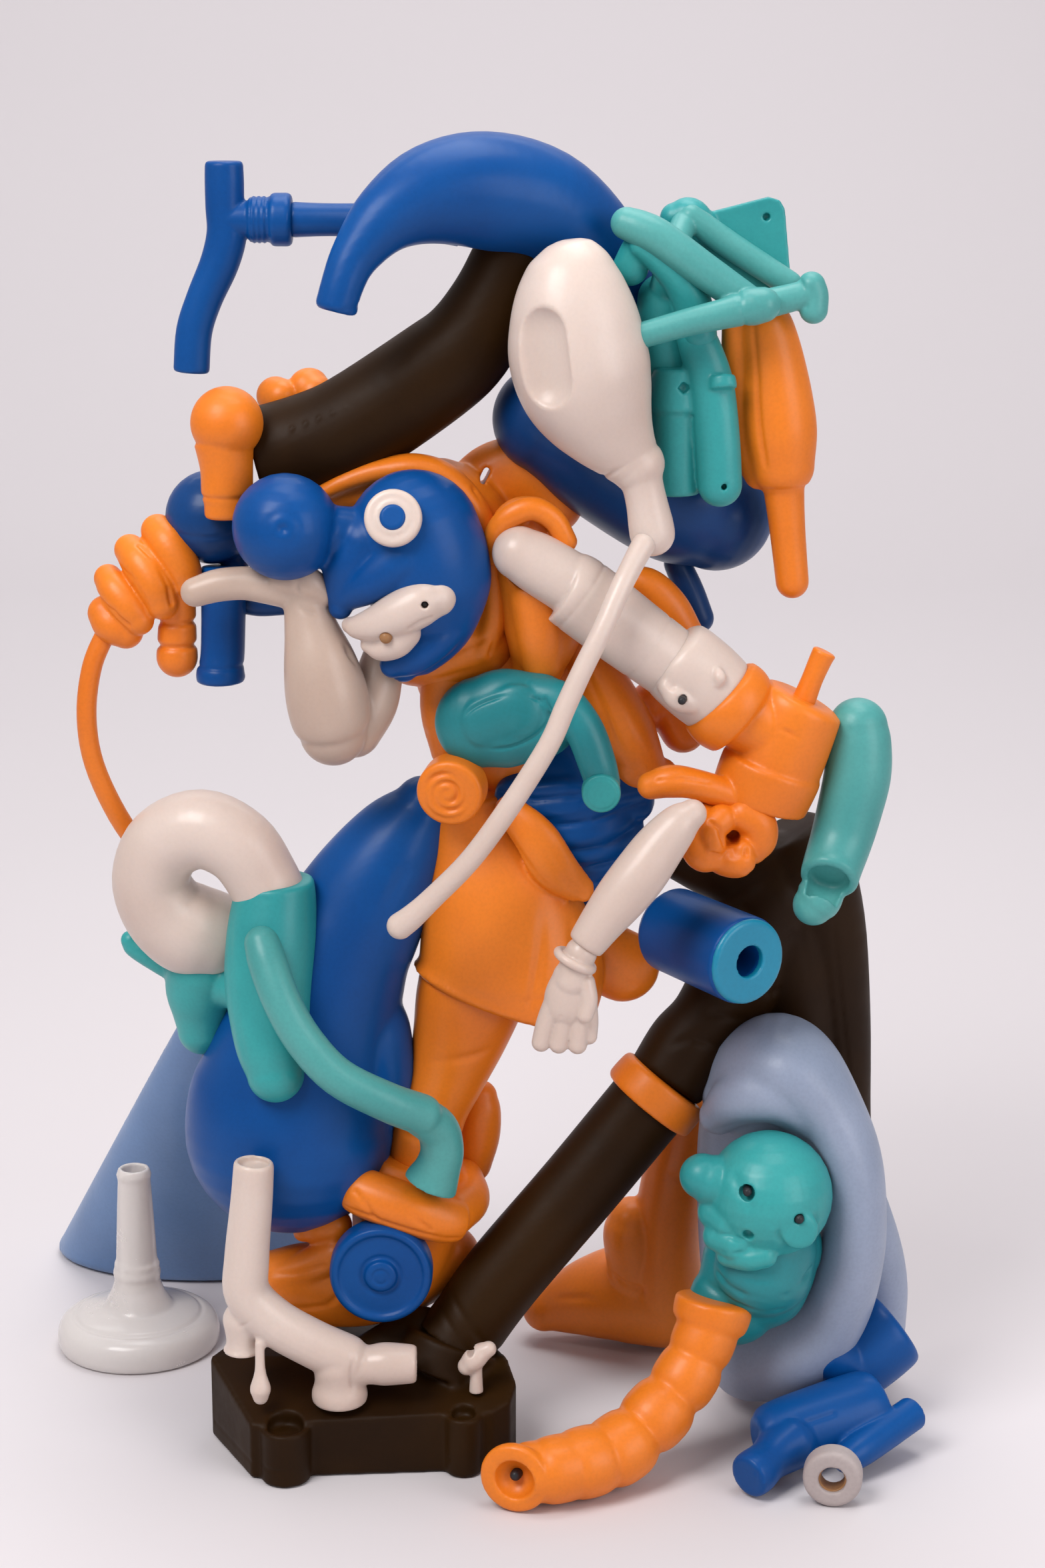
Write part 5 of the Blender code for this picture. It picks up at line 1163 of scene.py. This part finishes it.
def teal_hose():
    """The short bent teal hose at the can's right, with an oval lip, a shallow recess and a tongue below."""
    hose = limb([(115.6, -8, 239.4, 9.4), (116, -8.6, 234, 10.2), (115.6, -9.6, 224, 10.6),
        (112.8, -11.6, 211.6, 10.2), (110.4, -14, 203.6, 9.8), (107.6, -18.6, 197, 9.4),
        (106, -23, 193.6, 9.2)], "round", "soft", sides=72)
    tongue = limb([(106, -15, 190.6, 6.8), (103.4, -19, 186.6, 7.4), (101.8, -19.4, 184.6, 6.6)])
    recess = limb([(104.6, -27, 190.4, 6.9), (106.6, -20.6, 195.4, 6.6)], "flat", "soft", steps=1, sides=56)
    form("teal_hose", "teal_light", [hose, tongue], holes=[recess], voxel=0.55, rounds=6)


def roller():
    """The short blue roller with a bored cyan end face."""
    body = limb([(57, 4.3, 170.1, 12.8), (58.6, 2, 170, 13.9), (80.4, -29.2, 169, 14.2)], "soft", "soft",
        steps=1, sides=80)
    bore = limb([(70, -14, 169.4, 5.2), (84, -34, 169, 5.2)], "flat", "flat", steps=1, sides=48)
    form("roller", "blue", [body], holes=[bore], voxel=0.6, rounds=6)
    face = limb([(79.6, -28, 169, 13.2), (81.2, -30.4, 169, 13.8)], "flat", "soft", steps=1, sides=80)
    extra("roller_face", "cyan", "roller", [face], holes=[bore], voxel=0.5, rounds=6)


# ---- lower right ------------------------------------------------------------------------------------------


def hood_ring():
    """The tall grey-blue hood: a fat hoop round the teal head, swept forward at its top like a shell."""
    right_side = limb([(80, 8, 112, 11.0), (86, 4, 121, 14.0), (93.6, 0, 125.4, 15.6), (101, -3, 121, 15.0),
        (109.4, -7, 111, 12.0), (115.4, -10, 98, 11.0), (118, -12, 84, 10.4), (117.4, -11, 64, 11.2),
        (112, -5, 42, 13.0), (100, 2, 25, 16.0), (87, 10, 19, 15.4)], sides=72, depth=1.4)
    left_side = limb([(89, 12, 20, 14.0), (83, 20, 36, 11.4), (81, 25, 58, 11.4), (81, 23, 86, 12.2),
        (83, 14, 106, 12.8), (88, 8, 118, 12.8)], sides=64)
    shin = limb([(120, 8, 80, 9.0), (127, 16, 56, 10.2), (130.4, 22, 38, 10.6), (131, 24, 22, 10.0)],
        sides=44)
    brow = limb([(74, -3, 108, 6.4), (80, -8, 115.6, 9.0), (90, -12, 119, 10.0), (99, -12, 114.6, 9.0),
        (107, -10, 104, 7.0)], sides=56)
    folds = [
        ([(72, -8, 103), (80, -14, 108), (91, -18, 111), (101, -17, 106), (107, -14, 96)], 3.2, 0.8),
        ([(126, -6, 70), (128, 2, 56), (126, 6, 40)], 2.0, 0.8),
    ]
    roof = limb([(84, 2, 107, 9.0), (93, -3, 111.4, 9.6), (102, -5, 107, 9.0)])
    form("hood_ring", "grey_blue", [right_side, left_side, shin, brow, roof],
        holes=[ball(89.4, -25, 90, 20.8)], voxel=1.0, rounds=14, grooves=folds)


def teal_head():
    """The small teal head: a ball with two ears, a soft snout, eye hollows and a mouth dimple."""
    skull = ball(89.2, -25, 89.6, 20.4)
    ears = [
        limb([(67.6, -27, 96.4, 7.4), (71, -27, 95, 8.4), (79, -26, 92, 7.6)]),
        limb([(95.8, -37.4, 84.6, 6.6), (97.6, -42, 84, 6.3), (98, -43.6, 84, 5.2)], "flat", "soft",
            sides=56),
    ]
    snout = [
        limb([(71.6, -29, 85, 5.6), (76, -32, 83, 6.8)]),
        limb([(72.6, -32, 78, 5.0), (78, -34.6, 77, 6.4)]),
        limb([(76, -34, 72.4, 4.0), (82, -37, 73, 4.6), (87, -38, 74, 4.2)]),
    ]
    eyes = [
        limb([(79.4, -50, 97.4, 2.8), (81.2, -40.2, 96.6, 2.2)], "flat", "round", steps=1),
        limb([(79.6, -50, 82, 2.4), (81.6, -40.6, 82.4, 1.8)], "flat", "round", steps=1),
        limb([(97.6, -54, 88.6, 1.9), (97.2, -42, 88.4, 1.6)], "flat", "round", steps=1),
    ]
    folds = [
        (arc((97.2, -41.6, 84.2), 6.9, across=(0.93, 0.36, 0), up=(0, 0, 1)), 0.8, 0.9),
        ([(72, -36, 81.4), (76, -38.6, 80.6), (80, -41, 80)], 0.9, 0.7),
        ([(74, -38, 75.6), (79, -41, 75.8), (86, -42.6, 77)], 0.8, 0.7),
        ([(76, -38, 101), (79, -40.6, 97), (82, -42, 93)], 2.2, 0.7),
    ]
    form("teal_head", "teal", [skull, *ears, *snout], holes=eyes, voxel=0.55, rounds=8, grooves=folds)
    # dark plugs in the upper eye hollow and the ear hole: painted shade
    for i, (x, y, z) in enumerate(((81, -41.2, 96.7), (97.3, -43.4, 88.4))):
        spot = limb([(x, y, z, 1.5), (x, y + 2, z, 1.4)])
        extra(f"teal_head_hole_{i + 1}", "dark", "small_head", [spot], voxel=0.3, rounds=4)


def teal_shirt():
    """The teal shirt under the head, pulled into slanted folds."""
    shirt = limb([(91, -17, 68, 16.6), (88, -17, 62, 18.0), (84, -18, 56, 18.6), (79, -19, 50, 14.8)],
        depth=0.8, sides=64)
    neck = limb([(90, -24, 70, 15.0), (88, -24, 64, 16.4)], steps=1, sides=56, depth=0.9)
    folds = [
        ([(68, -26, 66), (80, -36, 60), (94, -36, 60), (104, -30, 66)], 1.1, 1.0),
        ([(67, -24, 60), (78, -34, 55), (92, -34, 54), (103, -28, 60)], 1.1, 1.0),
        ([(70, -28, 53), (80, -33, 49), (92, -30, 47)], 1.1, 0.8),
        ([(72, -34, 70), (80, -38, 66), (90, -40, 65), (100, -38, 69)], 0.9, 0.8),
    ]
    form("teal_shirt", "teal_dark", [shirt, neck], voxel=0.7, rounds=10, grooves=folds)


def worm_arm():
    """The orange hose arm of fat segments that lies on the floor and ends in a dished disc."""
    cuff = limb([(72.4, -26, 54, 12.0), (72, -26.4, 52, 12.8), (70.6, -27.6, 47, 12.4),
        (70, -28, 45, 11.0)], "soft", "soft", sides=56)
    route = [
        (70, -30, 45, 10.4),
        (64, -35, 33, 10.6),
        (54, -42, 22, 11.2),
        (40, -52, 13.2, 11.6),
        (26, -59.6, 11.8, 11.2),
        (16, -63, 11.4, 10.0),
        (9, -63.6, 11.5, 8.4),
    ]
    chain = [tuple(point) for point in smooth_path(route, 12)]
    core = limb([(x, y, z, r - 3.0) for x, y, z, r in chain[::3]], "flat", "flat", sides=48)
    bulges = []
    half_length = 1.6
    for at in (3, 14, 25, 35, 44, 53, 62):  # where on the chain each segment is fattest
        x, y, z, radius = chain[at]
        ahead = (Vector(chain[at + 1][:3]) - Vector(chain[at - 1][:3])).normalized() * half_length
        here = Vector((x, y, z))
        bulges.append(limb([(*(here - ahead), radius), (*(here + ahead), radius)], steps=1, sides=56))
    flange = limb([(8.6, -64.6, 11.6, 10.2), (8.0, -66.4, 11.6, 11.2), (7.4, -68.4, 11.6, 11.2),
        (7.0, -69.6, 11.6, 10.2)], "soft", "soft", sides=80)
    dish = limb([(5.6, -73.6, 11.6, 9.6), (7.2, -69.2, 11.6, 6.4)], "flat", "round", steps=1, sides=64,
        depth=0.8)
    hole = limb([(5.6, -74, 11.6, 1.6), (8.6, -64.6, 11.6, 1.6)], "flat", "flat", steps=1, sides=40)
    form("worm_arm", "orange", [cuff, core, *bulges, flange], holes=[dish, hole], voxel=0.6, rounds=6)
    # a dark plug in the hole at the dish's centre: painted shade
    dark = limb([(7.8, -66, 11.6, 1.8), (8.4, -64.4, 11.6, 1.8)])
    extra("worm_hole_shade", "dark", "root", [dark], voxel=0.35, rounds=4)


def back_bottles():
    """The upper pair of blue bottles, crossed behind."""
    upper = limb([(110, -6, 15.4, 12.4), (114, -5, 18, 13.6), (124, -1.4, 24.6, 14.2),
        (132, 1.6, 29.8, 13.9), (135, 2.6, 31.8, 12.6)], "soft", "soft", sides=64)
    stub = limb([(107, -14, 31, 7.6), (112, -11, 27, 9.0), (118, -8, 22, 9.8)], "soft", "round", sides=56)
    form("back_bottles", "blue", [upper, stub], voxel=0.7, rounds=9,
        grooves=[([(126, -12, 31), (131, -11, 24), (133, -8, 16)], 0.9, 0.5)])


def front_bottles():
    """The long blue bottle with its stepped neck, and the thin one beneath."""
    body = limb([(86, -40.4, 10.4, 8.0), (89, -39.4, 10.8, 9.8), (94, -37, 11.8, 11.0),
        (106, -31.6, 12.8, 12.0), (120, -25, 14.2, 12.4), (126, -22, 15.2, 11.4)], "soft", "soft", sides=64)
    neck = limb([(81, -60, 7.8, 7.0), (84, -57, 8.4, 7.4), (88, -52, 9.4, 6.8), (92, -47, 10.4, 8.0),
        (96, -43, 11.4, 9.0)], "soft", "round", sides=56)
    thin = limb([(114, -47, 7.6, 4.6), (120, -42, 9.4, 5.6), (138, -26, 14, 5.6)], "round", "soft", sides=44)
    folds = [
        ([(90, -48, 14), (98, -45, 18), (110, -40, 20)], 0.9, 0.6),
        ([(84, -63, 11), (92, -53, 13), (98, -48, 17)], 0.8, 0.5),
    ]
    form("front_bottles", "blue", [body, neck, thin], voxel=0.7, rounds=9, grooves=folds)


def grey_ring():
    """The loose grey-beige ring that leans on the front bottle, with a tan sleeve of painted shade in its
    bore.
    """
    ring = disc((108, -62, 9.6), (0.15, 1, 0), 9.4, 8.0, sides=80)
    bore = limb([(105, -82, 9.6, 4.4), (111, -42, 9.6, 4.4)], "flat", "flat", steps=1, sides=56)
    form("grey_ring", "grey", [ring], holes=[bore], voxel=0.5, rounds=9)
    # a tan sleeve over the bore's wall: painted shade
    bore_shade = limb([(107.6, -64.6, 9.6, 4.9), (108.4, -58.8, 9.6, 4.9)], "flat", "flat", steps=1, sides=56)
    inner = limb([(105, -82, 9.6, 3.9), (111, -42, 9.6, 3.9)], "flat", "flat", steps=1, sides=56)
    extra("grey_ring_bore_shade", "tan", "loose_ring", [carved(limb_object(bore_shade), [inner])], voxel=0.35,
        rounds=3)


def back_leg():
    """The orange leg at the back, with its large creased shoe on the floor and a lobe over the instep."""
    shin = limb([(66, 44, 92, 9.4), (62, 46, 66, 11.0), (60, 48, 44, 12.0), (60, 50, 24, 13.0)], sides=56)
    shoe = limb([(18, 62, 11.6, 8.0), (24, 62, 13.4, 10.6), (34, 61, 16.4, 14.4), (46, 59, 18.8, 17.2),
        (60, 55, 19, 17.6)], sides=56)
    lobe = limb([(48, 47, 51, 8.6), (47.6, 47, 45, 9.6), (50, 50, 26, 9.0)], sides=48)
    folds = [
        ([(32, 46, 30), (42, 42, 32), (52, 40, 28)], 1.1, 0.8),
        ([(22, 52, 20), (32, 48, 22), (44, 44, 20)], 1.2, 0.7),
        ([(52, 36, 76), (60, 34, 72), (70, 36, 70)], 1.2, 0.6),
    ]
    form("back_leg", "orange", [shin, shoe, lobe], voxel=0.9, rounds=12, grooves=folds)


PIECES = [
    base_block, base_pin, elbow_pipe, lower_tube, tube_ring, trousers, boot, wheel_disc, leg, skirt,
    balloon_leg, ring_hook, hook_sleeve, drain_pipe, spindle_disc, support_cone, torso, waist_sash,
    spiral_knob, pouch, pouch_dial, hood, mask_head, eye_ring, jaw_insert, left_forearm, left_ball,
    blue_handle, left_fist, orange_hose, blue_arch, crank_shaft, crank_handle, upper_tube, bulb_fitting,
    lobed_knob, horn, thin_rod, blue_capsule, teal_frame, teal_link, orange_bottle, shoulder_sleeve,
    right_arm, shoulder_back, arm_cuff, canister, canister_lever, right_fist, hanging_forearm,
    hanging_hand, teal_hose, roller, hood_ring, teal_head, teal_shirt, worm_arm, back_bottles,
    front_bottles, grey_ring, back_leg,
]


# ---- stage, light and camera ------------------------------------------------------------------------

PAPER_COLOURS = ((0.63, 0.595, 0.612, 1), (0.665, 0.63, 0.648, 1))
PAPER_MOTTLE_SCALE = 6
PAPER_ROUGHNESS = 0.75
PAPER_SPECULAR = 0.25
FLOOR_FRONT, FLOOR_DEPTH, WALL_HEIGHT, BEND, HALF_WIDTH = -3.0, 2.3, 3.2, 0.8, 4.0  # metres
WORLD_COLOUR = (1.0, 0.965, 0.985, 1)
WORLD_STRENGTH = 0.42
MIDDLE = (0, 0, 0.2)  # what the lamps on the part aim at
LAMPS = [  # name, place and aim in metres, size in metres, power in watts, colour
    ("key", (-0.55, -0.75, 1.15), MIDDLE, (0.6, 0.6), 12.6, (1.0, 0.98, 0.97)),
    ("fill", (1.0, -0.9, 0.6), MIDDLE, (0.7, 0.9), 6.2, (1.0, 0.96, 0.97)),
    ("top", (0.1, 0.1, 1.4), MIDDLE, (0.9, 0.6), 8, (1, 1, 1)),
    ("sweep", (0, 1.5, 1.9), (0, 2.3, 0.3), (2.6, 1.0), 22, (1, 1, 1)),
]
LENS, SENSOR_WIDTH = 70, 36  # millimetres
CAMERA_HEIGHT = math.radians(14)  # above level
CAMERA_REACH = 0.972  # metres from what it aims at
CAMERA_AIM = Vector((0.010, 0.0, 0.219)) + ORIGIN


def paper():
    """The pale paper of the floor and backdrop: a faint mottle and a soft tooth."""
    made = bpy.data.materials.new("paper")
    made.use_nodes = True
    tree = made.node_tree
    shader = tree.nodes["Principled BSDF"]
    noise = tree.nodes.new("ShaderNodeTexNoise")
    noise.inputs["Scale"].default_value = PAPER_MOTTLE_SCALE
    ramp = tree.nodes.new("ShaderNodeValToRGB")
    for element, colour in zip(ramp.color_ramp.elements, PAPER_COLOURS):
        element.color = colour
    tree.links.new(noise.outputs["Fac"], ramp.inputs["Fac"])
    tree.links.new(ramp.outputs["Color"], shader.inputs["Base Color"])
    shader.inputs["Roughness"].default_value = PAPER_ROUGHNESS
    shader.inputs["Specular IOR Level"].default_value = PAPER_SPECULAR
    return made


def backdrop():
    """A floor that turns up into a wall in one soft sweep."""
    fold = FLOOR_DEPTH - BEND
    turn = [math.radians(angle) for angle in range(6, 91, 6)]
    profile = [(FLOOR_FRONT, 0.0), (fold, 0.0)]
    profile += [(fold + BEND * math.sin(a), BEND - BEND * math.cos(a)) for a in turn]
    profile.append((FLOOR_DEPTH, WALL_HEIGHT))
    points = [(x, y, z) for y, z in profile for x in (-HALF_WIDTH, HALF_WIDTH)]
    faces = [[2 * i, 2 * i + 1, 2 * i + 3, 2 * i + 2] for i in range(len(profile) - 1)]
    mesh = bpy.data.meshes.new("backdrop")
    mesh.from_pydata(points, [], faces)
    mesh.polygons.foreach_set("use_smooth", [True] * len(faces))
    sweep = link(mesh, "backdrop")
    sweep.data.materials.append(paper())


def lamp(name, place, aim, size, power, colour):
    data = bpy.data.lights.new(name, "AREA")
    data.shape = "RECTANGLE"
    data.size = size[0]
    data.size_y = size[1]
    data.energy = power
    data.color = colour
    made = bpy.data.objects.new(name, data)
    made.location = place
    made.rotation_euler = (Vector(aim) - Vector(place)).to_track_quat("-Z", "Y").to_euler()
    bpy.context.scene.collection.objects.link(made)


def lights():
    """The lamps of the table above, and a pale even light from all round."""
    for row in LAMPS:
        lamp(*row)
    world = bpy.data.worlds.new("studio")
    world.use_nodes = True
    background = world.node_tree.nodes["Background"]
    background.inputs["Color"].default_value = WORLD_COLOUR
    background.inputs["Strength"].default_value = WORLD_STRENGTH
    bpy.context.scene.world = world


def camera():
    """A 70 mm view from the front, 14 degrees above level."""
    data = bpy.data.cameras.new("camera")
    data.lens = LENS
    data.sensor_width = SENSOR_WIDTH
    made = bpy.data.objects.new("camera", data)
    back = Vector((0, -math.cos(CAMERA_HEIGHT), math.sin(CAMERA_HEIGHT)))
    made.location = CAMERA_AIM + CAMERA_REACH * back
    made.rotation_euler = (math.radians(90) - CAMERA_HEIGHT, 0, 0)
    bpy.context.scene.collection.objects.link(made)
    bpy.context.scene.camera = made


def main():
    bpy.context.scene.view_settings.view_transform = "Standard"
    camera()
    backdrop()
    lights()
    for piece in PIECES:
        piece()


main()

bpy.context.view_layer.update()
